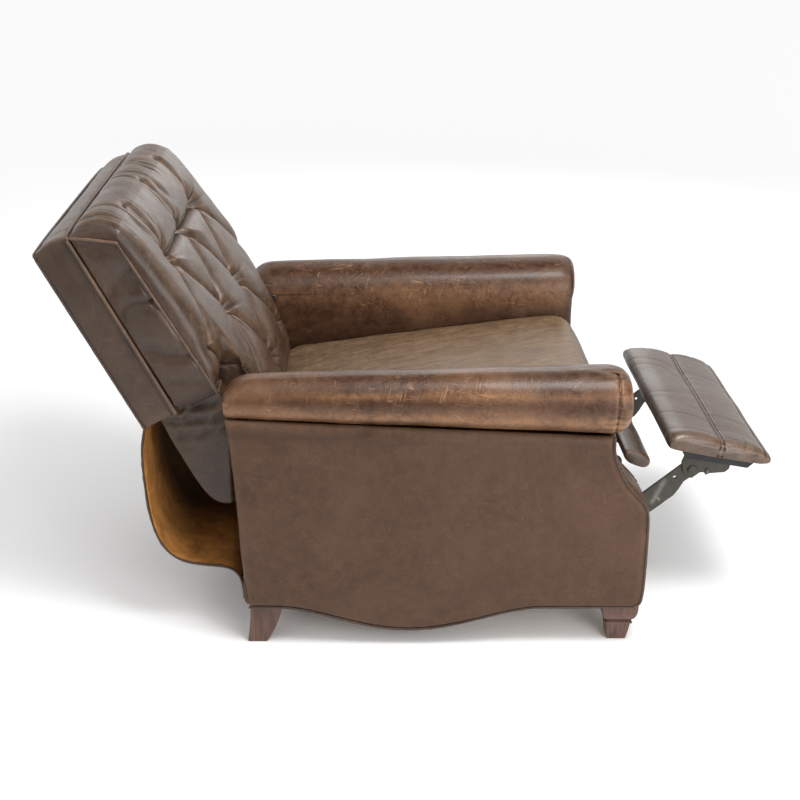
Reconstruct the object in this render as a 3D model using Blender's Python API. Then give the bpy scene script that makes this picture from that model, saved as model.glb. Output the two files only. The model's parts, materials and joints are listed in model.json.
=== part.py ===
"""Push-back recliner armchair, modelled open: back reclined and footrest raised.

Metres, +Z up. The chair faces -Y and its left arm (the sitter's) is at +X. The origin lies on
the floor under the middle of the chair's overall length. Side outlines are written as
(forward, up) points: forward is measured from the side panels' lower rear corner, and up from
the floor. The reclining back is laid out in its own tilted plane, as (out, along) points that
start at its hinge.
"""

from math import cos, pi, radians, sin

import bmesh
import bpy
from mathutils import Vector

# ---- Driving dimensions -------------------------------------------------------------------
MIDDLE = 0.357                # forward place of the origin
GAP = 0.0004                  # air between touching pieces
SIDES = (("right", -1), ("left", 1))

BOARD = 0.012                 # leather-covered arm boards
ARM_OUTER = 0.397             # outer face of an arm
ARM_INNER = 0.278             # inner face of an arm
ARM_BACK = 0.010              # rear face of the arm's rear post
ROLL_X = 0.362                # centre line of an arm roll
ROLL_FRONT_R = 0.068
ROLL_REAR_R = 0.042
ROLL_REAR = -0.034
ROLL_FRONT = 0.755
PANEL_FOOT = 0.095            # underside of the body at the feet

HINGE = (0.020, 0.540)        # back hinge
RECLINE = 27.0                # lean of the open back from upright, degrees
BACK_HALF = 0.346             # half-width of the back above the arms
WAIST_HALF = 0.262            # half-width of the back between the arms
BACK_TOP = 0.452
BACK_REAR = -0.222
BACK_SEAM = -0.145            # plane where the outer back meets its cushion

SEAT_RISE = 0.0857            # slope of the seat's underside
SEAT_HALF = 0.270
SEAT_REAR = (0.135, 0.318)    # rear end of the seat cushion's underside

REAR_PIVOT = (0.650, 0.320)   # seat plate to rear link
LINK_PIVOT = (0.791, 0.188)   # rear link to front link
REST_PIVOT = (0.940, 0.322)   # front link to footrest bracket
FILLER_PIVOT = (0.775, 0.345)
PAD_REAR = (0.874, 0.407)     # rear end of the footrest pad, at mid-thickness
PAD_TILT = 10.2               # fall of the open footrest, degrees
PAD_LENGTH = 0.224
PAD_HALF = 0.256
PLATE = 0.005                 # mechanism steel
PLATE_X = 0.214               # inner face of a seat side plate
ROD_R = 0.006

# Front edge of an arm, from its foot to the scoop under the roll
ARM_FRONT_EDGE = [(0.813, PANEL_FOOT), (0.814, 0.160), (0.812, 0.240), (0.809, 0.312), (0.802, 0.333),
                  (0.785, 0.353), (0.763, 0.376), (0.742, 0.412), (0.729, 0.448), (0.727, 0.484)]
# Rear edge of an arm, from the roll down
ARM_REAR_EDGE = [(-0.033, 0.518), (-0.023, 0.436), (-0.015, 0.300), (-0.012, 0.205), (0.0, PANEL_FOOT)]

PIVOTS = {
    "base": None,
    "back": HINGE,
    "seat": SEAT_REAR,
    "rear_links": REAR_PIVOT,
    "front_links": LINK_PIVOT,
    "footrest": REST_PIVOT,
    "filler": FILLER_PIVOT,
}


# ---- Frame helpers ------------------------------------------------------------------------
def world(x, point):
    """Point of the chair from its place across (x) and its (forward, up) pair."""
    return Vector((x, MIDDLE - point[0], point[1]))


def tilted(origin, degrees, out, along):
    """(forward, up) of a point given in a plane tipped by degrees, measured from origin."""
    lean = radians(degrees)
    return (origin[0] + out * cos(lean) - along * sin(lean),
            origin[1] + out * sin(lean) + along * cos(lean))


def back_point(out, along):
    return tilted(HINGE, RECLINE, out, along)


def pad_point(along, rise):
    return tilted(PAD_REAR, -PAD_TILT, along, rise)


def seat_under(forward, drop=0.0):
    """Height of the seat cushion's sloping underside, less drop."""
    return SEAT_REAR[1] + (forward - SEAT_REAR[0]) * SEAT_RISE - drop


def arc(centre, radius, start, end, steps):
    """Points of an arc in the side plane, angles in degrees."""
    points = []
    for i in range(steps + 1):
        angle = radians(start + (end - start) * i / steps)
        points.append((centre[0] + radius * cos(angle), centre[1] + radius * sin(angle)))
    return points


# ---- Scene helpers ------------------------------------------------------------------------
def clear_scene():
    for old in list(bpy.data.objects):
        bpy.data.objects.remove(old, do_unlink=True)


def make_material(name, colour, roughness, metallic=0.0):
    material = bpy.data.materials.new(name)
    material.use_nodes = True
    shader = material.node_tree.nodes["Principled BSDF"]
    shader.inputs["Base Color"].default_value = (*colour, 1.0)
    shader.inputs["Roughness"].default_value = roughness
    shader.inputs["Metallic"].default_value = metallic
    return material


def make_pivots():
    """One empty for each moving body, on its joint's axis."""
    empties = {}
    for body, point in PIVOTS.items():
        if point is None:
            continue
        empty = bpy.data.objects.new(body + "_pivot", None)
        empty.location = world(0.0, point)
        bpy.context.collection.objects.link(empty)
        empties[body] = empty
    return empties


def add_piece(name, shape, body, material):
    """Makes an object from a bmesh in chair coordinates and hangs it on its body's pivot."""
    bmesh.ops.recalc_face_normals(shape, faces=shape.faces)
    empty = EMPTIES.get(body)
    if empty:
        bmesh.ops.translate(shape, verts=shape.verts, vec=-empty.location)
    mesh = bpy.data.meshes.new(name)
    shape.to_mesh(mesh)
    shape.free()
    mesh.shade_smooth()
    mesh.set_sharp_from_angle(angle=radians(35))
    mesh.materials.append(MATERIALS[material])
    piece = bpy.data.objects.new(name, mesh)
    bpy.context.collection.objects.link(piece)
    piece.parent = empty
    return piece


def add_prism(name, outline, x_from, x_to, body, material):
    """Extrudes a (forward, up) outline across the chair."""
    shape = bmesh.new()
    face = shape.faces.new([shape.verts.new(world(x_from, point)) for point in outline])
    grown = bmesh.ops.extrude_face_region(shape, geom=[face])
    moved = [item for item in grown["geom"] if isinstance(item, bmesh.types.BMVert)]
    bmesh.ops.translate(shape, verts=moved, vec=(x_to - x_from, 0, 0))
    return add_piece(name, shape, body, material)


def add_box(name, x_range, forward_range, up_range, body, material):
    outline = [(forward_range[0], up_range[0]), (forward_range[1], up_range[0]),
               (forward_range[1], up_range[1]), (forward_range[0], up_range[1])]
    return add_prism(name, outline, x_range[0], x_range[1], body, material)


def add_loft(name, rings, body, material):
    """Skins a row of closed rings of chair points and caps both ends."""
    shape = bmesh.new()
    rows = [[shape.verts.new(point) for point in ring] for ring in rings]
    count = len(rows[0])
    for lower, upper in zip(rows, rows[1:]):
        for i in range(count):
            shape.faces.new((lower[i], lower[(i + 1) % count], upper[(i + 1) % count], upper[i]))
    shape.faces.new(rows[0])
    shape.faces.new(rows[-1])
    return add_piece(name, shape, body, material)


def add_rod(name, x_from, x_to, centre, radius, body, material, sides=12):
    return add_prism(name, arc(centre, radius, 0, 360, sides)[:-1], x_from, x_to, body, material)


def round_edges(piece, width, segments=2):
    bevel = piece.modifiers.new("round_edges", "BEVEL")
    bevel.width = width
    bevel.segments = segments
    bevel.limit_method = "ANGLE"
    bevel.angle_limit = radians(40)
    bevel.harden_normals = False
    return piece


def subtract(piece, cutter):
    cutter.hide_render = True
    cutter.display_type = "WIRE"
    cut = piece.modifiers.new("cut", "BOOLEAN")
    cut.operation = "DIFFERENCE"
    cut.solver = "EXACT"
    cut.object = cutter


def drill(piece, centre, radius, body):
    """Cuts a round hole across the chair through a plate."""
    subtract(piece, add_rod(piece.name + "_hole", -0.5, 0.5, centre, radius, body, "steel", 16))


def strip_between(points, width):
    """Outline of a plate that follows points, with round ends."""
    half = width / 2
    near, far = [], []
    for i, point in enumerate(points):
        before = Vector(points[max(i - 1, 0)])
        after = Vector(points[min(i + 1, len(points) - 1)])
        direction = (after - before).normalized()
        side = Vector((-direction.y, direction.x)) * half
        near.append(tuple(Vector(point) + side))
        far.append(tuple(Vector(point) - side))
    return near, far


def link_outline(start, end, start_r, end_r, steps=5):
    """A link plate: two round ends joined by straight edges."""
    direction = Vector(end) - Vector(start)
    angle = direction.angle_signed(Vector((1, 0))) * 180 / pi
    first = arc(start, start_r, angle + 90, angle + 270, steps)
    second = arc(end, end_r, angle - 90, angle + 90, steps)
    return first + second


# ---- Base: arms, feet, rails --------------------------------------------------------------
def scallop_edge():
    """Underside of a side panel: flat at the feet, sweeping down to a low middle."""
    low, start, finish, steps = 0.041, 0.065, 0.600, 12
    drop = PANEL_FOOT - low
    points = []
    for i in range(1, steps):
        share = i / steps
        points.append((start + (finish - start) * share, PANEL_FOOT - drop * sin(pi * share) ** 1.6))
    return [(start, PANEL_FOOT)] + points + [(finish, PANEL_FOOT)]


def side_panel(side, sign):
    outline = ARM_REAR_EDGE + scallop_edge() + ARM_FRONT_EDGE
    add_prism("side_panel_" + side, outline, sign * (ARM_OUTER - BOARD), sign * ARM_OUTER, "base", "leather")


def inner_arm_panel(side, sign):
    front = [(forward - 0.002, up) for forward, up in ARM_FRONT_EDGE if up > 0.1]
    outline = [(0.030, 0.545), (0.030, 0.130), (0.811, 0.130)] + front + [(0.727, 0.545)]
    add_prism("inner_arm_panel_" + side, outline, sign * ARM_INNER, sign * (ARM_INNER + BOARD), "base",
              "leather")


def arm_front_panel(side, sign):
    """Board bent along the scooped front of an arm, between its two side boards."""
    inset = 0.014
    edge = [(forward - 0.001, up) for forward, up in ARM_FRONT_EDGE[:-1]]
    inner = [(forward - inset, up - (inset * 0.5 if up > 0.32 else 0.0)) for forward, up in reversed(edge)]
    add_prism("arm_front_panel_" + side, edge + inner, sign * (ARM_INNER + BOARD + GAP),
              sign * (ARM_OUTER - BOARD - GAP), "base", "leather")


def nailhead_strip(side, sign):
    """Narrow row of tacks down the front edge of an arm, carried on one backing strip."""
    edge = [(forward + GAP, up) for forward, up in ARM_FRONT_EDGE[:4]]
    outer = [(forward + 0.0045, up) for forward, up in reversed(edge)]
    add_prism("nailhead_strip_" + side, edge + outer, sign * (ARM_OUTER - 0.016), sign * (ARM_OUTER - 0.004),
              "base", "brass")


def arm_roll(side, sign):
    """Padded roll, thickest at its front, with softly domed ends."""
    sides = 20
    stations = [(0.0, 0.55), (0.006, 0.80), (0.020, 0.96), (0.045, 1.0), (0.5, 1.0), (0.965, 1.0),
                (0.985, 0.96), (0.996, 0.84), (1.0, 0.66)]
    rings = []
    for share, full in stations:
        forward = ROLL_REAR + (ROLL_FRONT - ROLL_REAR) * share
        radius = ROLL_REAR_R + (ROLL_FRONT_R - ROLL_REAR_R) * share
        centre = 0.5575 - 0.005 * share
        ring = []
        for i in range(sides):
            angle = 2 * pi * i / sides
            across = sign * (ROLL_X + radius * full * cos(angle))
            ring.append(world(across, (forward, centre + radius * full * sin(angle))))
        rings.append(ring)
    add_loft("arm_roll_" + side, rings, "base", "leather")


def arm_posts(side, sign):
    x_range = (sign * 0.302, sign * 0.380)
    add_box("front_post_" + side, x_range, (0.745, 0.792), (PANEL_FOOT + GAP, 0.300), "base", "hardwood")
    add_box("rear_post_" + side, x_range, (ARM_BACK, 0.050), (PANEL_FOOT + GAP, 0.500), "base", "hardwood")
    add_box("side_rail_" + side, x_range, (0.050 + GAP, 0.745 - GAP), (PANEL_FOOT + 0.005, 0.150), "base",
            "hardwood")


def front_foot(side, sign):
    """Square foot: flared under the body, a collar, then a tapered block."""
    centre = (0.7745, 0.0)
    across = sign * 0.352
    profile = [(PANEL_FOOT, 0.037), (0.080, 0.0365), (0.066, 0.034), (0.054, 0.028), (0.049, 0.0245),
               (0.0475, 0.0275), (0.0435, 0.0275), (0.0425, 0.0250), (0.004, 0.0200), (0.0, 0.0185)]
    rings = []
    for up, half in profile:
        corners = ((-half, -half), (half, -half), (half, half), (-half, half))
        rings.append([world(across + dx, (centre[0] + df, up)) for dx, df in corners])
    add_loft("front_foot_" + side, rings, "base", "wood_foot")


def rear_foot(side, sign):
    """Sabre foot raked to the rear."""
    outline = [(0.002, PANEL_FOOT), (0.001, 0.055), (-0.006, 0.0), (0.034, 0.0), (0.043, 0.014),
               (0.052, 0.032), (0.060, 0.052), (0.066, 0.074), (0.070, PANEL_FOOT)]
    add_prism("rear_foot_" + side, outline, sign * 0.330, sign * 0.382, "base", "wood_foot")


def base_rails():
    add_box("front_rail", (-ARM_INNER + GAP, ARM_INNER - GAP), (0.735, 0.760), (0.0955, 0.120), "base",
            "hardwood")
    add_box("rear_rail", (-0.384, 0.384), (-0.009, ARM_BACK - GAP), (0.100, 0.165), "base", "hardwood")


def base_track(side, sign):
    """Steel angle on the inner arm board; the seat slides along its top."""
    add_prism("base_track_" + side,
              [(0.150, 0.205), (0.650, 0.205), (0.650, 0.235), (0.150, 0.235)],
              sign * 0.222, sign * (ARM_INNER - GAP), "base", "steel")


def back_pivot_bolt(side, sign):
    """Shouldered bolt fixed to the inner arm board, through the back's hinge plate."""
    add_rod("back_pivot_bolt_" + side, sign * (WAIST_HALF + 0.0012), sign * (ARM_INNER - GAP), HINGE,
            ROD_R, "base", "steel")


FLAP_ROUTE = [(-0.205, 0.468), (-0.211, 0.420), (-0.212, 0.370), (-0.210, 0.320), (-0.206, 0.275),
              (-0.198, 0.235), (-0.186, 0.202), (-0.168, 0.176), (-0.144, 0.160), (-0.112, 0.153),
              (-0.078, 0.150), (-0.048, 0.146), (-0.030, 0.134), (-0.019, 0.112), (-0.016, 0.066)]


def rear_flap():
    """Leather sheet that closes the rear; it bows out while the back is reclined."""
    near, far = strip_between(FLAP_ROUTE, 0.004)
    add_prism("rear_flap", near + far[::-1], -0.318, 0.318, "base", "leather")


# ---- Back -----------------------------------------------------------------------------------
def back_outline(pairs):
    return [back_point(out, along) for out, along in pairs]


def outer_back_shell():
    """Leather-covered tray that forms the rear, the sides and the crowned top of the back."""
    wall = 0.009
    low = 0.045
    piece = add_prism("outer_back_shell", back_outline(
        [(BACK_REAR, low), (BACK_SEAM, low + 0.008), (BACK_SEAM, BACK_TOP), (-0.185, BACK_TOP + 0.003),
         (BACK_REAR + 0.004, BACK_TOP - 0.003), (BACK_REAR, BACK_TOP - 0.010)]),
        -BACK_HALF, BACK_HALF, "back", "leather")
    cutter = add_prism("outer_back_hollow", back_outline(
        [(BACK_REAR + wall, low - 0.05), (BACK_SEAM + 0.05, low - 0.05),
         (BACK_SEAM + 0.05, BACK_TOP - wall), (BACK_REAR + wall, BACK_TOP - wall)]),
        -BACK_HALF + wall, BACK_HALF - wall, "back", "leather")
    subtract(piece, cutter)


def back_frame():
    rear, front = -0.206, -0.166
    for side, sign in SIDES:
        add_prism("back_post_" + side, back_outline(
            [(rear, -0.185), (front, -0.185), (front, 0.440), (rear, 0.440)]),
            sign * 0.235, sign * WAIST_HALF, "back", "hardwood")
    for name, low, high in (("back_top_rail", 0.395, 0.440), ("back_bottom_rail", -0.180, -0.130)):
        add_prism(name, back_outline([(rear, low), (front, low), (front, high), (rear, high)]),
                  -0.235 + GAP, 0.235 - GAP, "back", "hardwood")


def add_webbing(name, outline_at, runs, ties, half, body):
    """One flat net of straps: runs go along, ties go across; all lie in a sloping plane."""
    shape = bmesh.new()
    xs = sorted({edge for centre, width in runs for edge in (centre - width / 2, centre + width / 2)})
    xs = [-half] + xs + [half]
    stations = sorted({edge for low, high in ties for edge in (low, high)})
    run_cells = {i for i in range(len(xs) - 1)
                 if any(abs((xs[i] + xs[i + 1]) / 2 - centre) < width / 2 for centre, width in runs)}
    tie_cells = {j for j in range(len(stations) - 1)
                 if any(low < (stations[j] + stations[j + 1]) / 2 < high for low, high in ties)}
    verts = {}

    def corner(i, j):
        if (i, j) not in verts:
            verts[(i, j)] = shape.verts.new(world(xs[i], outline_at(stations[j], 0.0)))
        return verts[(i, j)]

    for i in range(len(xs) - 1):
        for j in range(len(stations) - 1):
            if i in run_cells or j in tie_cells:
                shape.faces.new((corner(i, j), corner(i + 1, j), corner(i + 1, j + 1), corner(i, j + 1)))
    grown = bmesh.ops.extrude_face_region(shape, geom=shape.faces[:])
    moved = [item for item in grown["geom"] if isinstance(item, bmesh.types.BMVert)]
    lift = world(0.0, outline_at(stations[0], 0.0018)) - world(0.0, outline_at(stations[0], 0.0))
    bmesh.ops.translate(shape, verts=moved, vec=lift)
    return add_piece(name, shape, body, "webbing")


def back_webbing():
    runs = [(x, 0.050) for x in (-0.12, 0.0, 0.12)]
    ties = [(low, low + 0.050) for low in (-0.170, 0.000, 0.140, 0.270, 0.385)]
    add_webbing("back_webbing", lambda along, lift: back_point(-0.1655 + lift, along), runs, ties, 0.230,
                "back")


def back_cushion():
    outline = [(BACK_SEAM + GAP, 0.052), (-0.060, 0.052), (-0.036, 0.090), (-0.022, 0.135), (-0.024, 0.210),
               (-0.034, 0.300), (-0.054, 0.375), (-0.086, 0.425), (-0.115, 0.448), (BACK_SEAM + GAP, 0.455)]
    piece = add_prism("back_cushion", back_outline(outline), -BACK_HALF + 0.004, BACK_HALF - 0.004, "back",
                      "leather")
    round_edges(piece, 0.018)


def lower_back_cushion():
    """Part of the back that reaches down between the arms."""
    outline = [(-0.1632, -0.196), (-0.072, -0.204), (-0.058, -0.190), (-0.036, -0.140), (-0.014, -0.090),
               (-0.006, -0.030), (-0.006, 0.020), (-0.018, 0.044), (-0.1632, 0.044)]
    piece = add_prism("lower_back_cushion", back_outline(outline), -WAIST_HALF, WAIST_HALF, "back", "leather")
    round_edges(piece, 0.010)


def back_hinge_plate(side, sign):
    """Steel arm from the back post forward to the pivot bolt."""
    outline = arc((0.0, 0.0), 0.020, -80, 95, 6) + [(-0.060, 0.032), (-0.204, 0.032), (-0.204, -0.110),
                                                    (-0.170, -0.110), (-0.120, -0.045)]
    inner = WAIST_HALF + GAP
    plate = add_prism("back_hinge_plate_" + side, back_outline(outline), sign * (inner + 0.003),
                      sign * (inner + 0.003 + PLATE), "back", "steel")
    drill(plate, HINGE, ROD_R + 0.0004, "back")


# ---- Seat -----------------------------------------------------------------------------------
def seat_cushion():
    outline = [SEAT_REAR, (0.764, seat_under(0.764)), (0.770, 0.385), (0.762, 0.425), (0.742, 0.462),
               (0.712, 0.485), (0.690, 0.491), (0.400, 0.453), (0.085, 0.412), (0.066, 0.402), (0.100, 0.335)]
    piece = add_prism("seat_cushion", outline, -SEAT_HALF, SEAT_HALF, "seat", "leather_seat")
    round_edges(piece, 0.012)


def seat_frame():
    rear, front = 0.140, 0.742
    under = 0.0045
    for side, sign in SIDES:
        outline = [(rear, 0.235 + GAP), (front, 0.235 + GAP), (front, seat_under(front, under)),
                   (rear, seat_under(rear, under))]
        add_prism("seat_side_rail_" + side, outline, sign * (PLATE_X + PLATE + GAP), sign * 0.245, "seat",
                  "hardwood")
    half = PLATE_X - GAP
    for name, low, high, floor in (("seat_rear_rail", rear, rear + 0.024, 0.262),
                                   ("seat_front_rail", front + GAP, front + 0.020, 0.300)):
        add_prism(name, [(low, floor), (high, floor), (high, seat_under(high, under)),
                         (low, seat_under(low, under))], -half, half, "seat", "plywood")


def seat_webbing():
    runs = [(x, 0.050) for x in (-0.16, -0.08, 0.0, 0.08, 0.16)]
    ties = [(low, low + 0.050) for low in (0.142, 0.290, 0.430, 0.570, 0.714)]
    add_webbing("seat_webbing", lambda forward, lift: (forward, seat_under(forward, 0.0040 - lift)), runs,
                ties, 0.240, "seat")


def seat_side_plate(side, sign):
    """Steel plate that carries the footrest linkage and the filler pad."""
    outline = [(0.180, seat_under(0.180, 0.006)), (0.180, 0.262), (0.600, 0.262)]
    outline += arc(REAR_PIVOT, 0.030, 240, 300, 3)
    outline += [(0.700, 0.312), (0.755, 0.326)]
    outline += arc(FILLER_PIVOT, 0.012, -70, 60, 4) + [(0.760, 0.362), (0.745, seat_under(0.745, 0.006))]
    plate = add_prism("seat_side_plate_" + side, outline, sign * PLATE_X, sign * (PLATE_X + PLATE), "seat",
                      "steel")
    drill(plate, REAR_PIVOT, ROD_R + GAP, "seat")


def seat_rods():
    reach = PLATE_X + PLATE
    add_rod("rear_pivot_rod", -reach, reach, REAR_PIVOT, ROD_R, "seat", "steel")
    add_rod("filler_pivot_rod", -PLATE_X + GAP, PLATE_X - GAP, FILLER_PIVOT, 0.005, "seat", "steel")


# ---- Footrest linkage -------------------------------------------------------------------------
def rear_link(side, sign):
    outer = PLATE_X - 0.0005
    plate = add_prism("rear_link_" + side, link_outline(REAR_PIVOT, LINK_PIVOT, 0.020, 0.018),
                      sign * (outer - PLATE), sign * outer, "rear_links", "steel")
    drill(plate, REAR_PIVOT, ROD_R + GAP, "rear_links")
    drill(plate, LINK_PIVOT, ROD_R + GAP, "rear_links")


def front_link(side, sign):
    """Broad link with a stepped lower edge, narrower at the footrest end."""
    outer = PLATE_X - 2 * 0.0005 - PLATE
    direction = Vector(REST_PIVOT) - Vector(LINK_PIVOT)
    angle = 180 / pi * direction.angle_signed(Vector((1, 0)))

    def along(distance, rise):
        return tilted(LINK_PIVOT, angle, distance, rise)

    outline = arc(LINK_PIVOT, 0.022, angle + 90, angle + 270, 5)
    outline += [along(0.045, -0.030), along(0.085, -0.033), along(0.112, -0.024), along(0.150, -0.021)]
    outline += arc(REST_PIVOT, 0.017, angle - 90, angle + 90, 5)
    outline += [along(0.155, 0.020), along(0.030, 0.023)]
    plate = add_prism("front_link_" + side, outline, sign * (outer - PLATE), sign * outer, "front_links",
                      "steel")
    drill(plate, LINK_PIVOT, ROD_R + GAP, "front_links")
    drill(plate, REST_PIVOT, ROD_R + GAP, "front_links")


def link_rod():
    reach = PLATE_X - 0.0006
    add_rod("link_rod", -reach, reach, LINK_PIVOT, ROD_R, "rear_links", "steel")


def footrest_rivet(side, sign):
    outer = PLATE_X + 0.0028
    inner = PLATE_X - 2 * 0.0005 - 2 * PLATE - 0.001
    add_rod("footrest_rivet_" + side, sign * inner, sign * outer, REST_PIVOT, ROD_R, "front_links", "steel")


def footrest_bracket(side, sign):
    outer = PLATE_X - 0.0005
    outline = [pad_point(0.056, -0.0385), pad_point(0.056, -0.068)]
    outline += arc(REST_PIVOT, 0.019, 190, 265, 3)
    outline += [pad_point(0.112, -0.083), pad_point(0.124, -0.078), pad_point(0.152, -0.072),
                pad_point(0.157, -0.050), pad_point(0.154, -0.0385)]
    plate = add_prism("footrest_bracket_" + side, outline, sign * (outer - PLATE), sign * outer, "footrest",
                      "steel")
    drill(plate, REST_PIVOT, ROD_R + GAP, "footrest")


def footrest():
    board = [pad_point(0.050, -0.038), pad_point(0.185, -0.038), pad_point(0.200, -0.0175),
             pad_point(0.035, -0.0175)]
    add_prism("footrest_board", board, -0.235, 0.235, "footrest", "plywood")
    outline = [pad_point(along, rise) for along, rise in
               ((0.006, -0.017), (0.0, -0.008), (0.0, 0.008), (0.012, 0.018), (0.065, 0.0225), (0.110, 0.0205),
                (0.165, 0.0185), (0.207, 0.009), (PAD_LENGTH, -0.004), (0.216, -0.012), (0.195, -0.016))]
    add_prism("footrest_pad", outline, -PAD_HALF, PAD_HALF, "footrest", "leather")


def filler():
    pad = [(0.783, 0.377), (0.791, 0.380), (0.834, 0.364), (0.843, 0.354), (0.841, 0.344), (0.831, 0.338),
           (0.802, 0.348)]
    piece = add_prism("filler_pad", pad, -0.240, 0.240, "filler", "leather")
    round_edges(piece, 0.004, 1)
    leaf = arc(FILLER_PIVOT, 0.009, 100, 290, 4) + [(0.806, 0.3425), (0.799, 0.3485), (0.788, 0.358)]
    plate = add_prism("filler_hinge_leaf", leaf, -0.120, 0.120, "filler", "steel")
    drill(plate, FILLER_PIVOT, 0.005 + GAP, "filler")


def build():
    for side, sign in SIDES:
        side_panel(side, sign)
        inner_arm_panel(side, sign)
        arm_front_panel(side, sign)
        nailhead_strip(side, sign)
        arm_roll(side, sign)
        arm_posts(side, sign)
        front_foot(side, sign)
        rear_foot(side, sign)
        base_track(side, sign)
        back_pivot_bolt(side, sign)
        back_hinge_plate(side, sign)
        seat_side_plate(side, sign)
        rear_link(side, sign)
        front_link(side, sign)
        footrest_rivet(side, sign)
        footrest_bracket(side, sign)
    base_rails()
    rear_flap()
    outer_back_shell()
    back_frame()
    back_webbing()
    back_cushion()
    lower_back_cushion()
    seat_cushion()
    seat_frame()
    seat_webbing()
    seat_rods()
    link_rod()
    footrest()
    filler()


clear_scene()
MATERIALS = {
    "leather": make_material("leather", (0.095, 0.050, 0.034), 0.42),
    "leather_seat": make_material("leather_seat", (0.150, 0.092, 0.052), 0.50),
    "hardwood": make_material("hardwood", (0.45, 0.30, 0.17), 0.70),
    "wood_foot": make_material("wood_foot", (0.060, 0.026, 0.016), 0.35),
    "plywood": make_material("plywood", (0.030, 0.028, 0.026), 0.70),
    "steel": make_material("steel", (0.075, 0.072, 0.062), 0.45, 0.6),
    "brass": make_material("brass", (0.20, 0.13, 0.07), 0.40, 0.9),
    "webbing": make_material("webbing", (0.20, 0.17, 0.13), 0.90),
}
EMPTIES = make_pivots()
build()
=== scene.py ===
"""Looks of the leather recliner: covers, cushions, welts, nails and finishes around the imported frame."""
import json
from math import cos, pi, radians, sin

import bmesh
import bpy
import numpy as np
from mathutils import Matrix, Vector


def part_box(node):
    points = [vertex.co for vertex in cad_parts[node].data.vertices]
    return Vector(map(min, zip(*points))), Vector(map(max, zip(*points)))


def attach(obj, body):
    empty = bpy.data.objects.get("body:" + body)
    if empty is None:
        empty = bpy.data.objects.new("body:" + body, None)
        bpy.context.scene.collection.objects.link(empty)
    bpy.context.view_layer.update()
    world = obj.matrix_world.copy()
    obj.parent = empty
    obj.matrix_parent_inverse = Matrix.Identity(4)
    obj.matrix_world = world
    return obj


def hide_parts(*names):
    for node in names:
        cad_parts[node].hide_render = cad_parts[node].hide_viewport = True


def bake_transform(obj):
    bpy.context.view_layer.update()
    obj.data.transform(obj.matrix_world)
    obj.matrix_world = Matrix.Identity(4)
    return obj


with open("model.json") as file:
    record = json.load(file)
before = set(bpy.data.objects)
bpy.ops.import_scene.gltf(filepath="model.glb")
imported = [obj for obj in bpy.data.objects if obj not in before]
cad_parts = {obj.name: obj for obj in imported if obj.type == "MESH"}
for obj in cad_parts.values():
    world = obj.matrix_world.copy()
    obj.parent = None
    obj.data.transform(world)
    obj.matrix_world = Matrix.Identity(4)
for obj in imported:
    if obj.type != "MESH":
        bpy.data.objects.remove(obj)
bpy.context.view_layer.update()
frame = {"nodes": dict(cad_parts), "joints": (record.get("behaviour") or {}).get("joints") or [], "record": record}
SIDES = (("right", -1), ("left", 1))


# ---- Frame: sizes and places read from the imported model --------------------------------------
def joint_at(name):
    """(y, z) of a joint's axis."""
    place = next(j for j in frame["joints"] if j["name"] == name)["pos_m"]
    return place[1], place[2]


HINGE_AHEAD = 0.020           # the back hinge stands this far ahead of the panels' rear corner
MIDDLE = joint_at("back_recline")[0] + HINGE_AHEAD
ARM_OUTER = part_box("side_panel_left")[1].x
ARM_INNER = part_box("inner_arm_panel_left")[0].x
ROLL_X = (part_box("arm_roll_left")[0].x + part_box("arm_roll_left")[1].x) / 2
ROLL_FRONT_R = (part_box("arm_roll_left")[1].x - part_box("arm_roll_left")[0].x) / 2
ROLL_REAR_R = 0.042
ROLL_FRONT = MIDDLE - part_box("arm_roll_left")[0].y
ROLL_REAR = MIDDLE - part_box("arm_roll_left")[1].y
FOOT_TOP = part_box("front_foot_left")[1].z
BACK_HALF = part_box("outer_back_shell")[1].x
WAIST_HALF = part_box("lower_back_cushion")[1].x
SEAT_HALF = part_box("seat_cushion")[1].x
PAD_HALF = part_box("footrest_pad")[1].x
FLAP_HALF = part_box("rear_flap")[1].x


def forward_up(name):
    y, z = joint_at(name)
    return MIDDLE - y, z


HINGE = forward_up("back_recline")
LINK_PIVOT = forward_up("front_link_pivot")
REST_PIVOT = forward_up("footrest_pivot")
RECLINE = radians(27.0)
PAD_REAR = (0.874, 0.407)
PAD_TILT = radians(-10.2)


def tilted(origin, lean, out, along):
    """(forward, up) of points laid out in a leaning plane."""
    out, along = np.asarray(out, float), np.asarray(along, float)
    return np.stack([origin[0] + out * cos(lean) - along * sin(lean),
                     origin[1] + out * sin(lean) + along * cos(lean)], -1)


def on_back(out, along):
    return tilted(HINGE, RECLINE, out, along)


def on_pad(along, rise):
    return tilted(PAD_REAR, PAD_TILT, along, rise)


def chair(x, profile):
    """Chair points from places across and (forward, up) pairs, broadcast together."""
    profile = np.asarray(profile, float)
    x, forward, up = np.broadcast_arrays(np.asarray(x, float), profile[..., 0], profile[..., 1])
    return np.stack([x, MIDDLE - forward, up], -1)


# ---- Numeric helpers --------------------------------------------------------------------------
def lattice(ix, iy, iz, seed):
    """Repeatable value from -1 to 1 for each whole-numbered place."""
    n = (ix * 374761393 + iy * 668265263 + iz * 974634777 + seed * 1274126177) & 0xFFFFFFFF
    n = ((n ^ (n >> 13)) * 1103515245) & 0xFFFFFFFF
    return ((n ^ (n >> 16)) & 0xFFFF) / 32767.5 - 1.0


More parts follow.
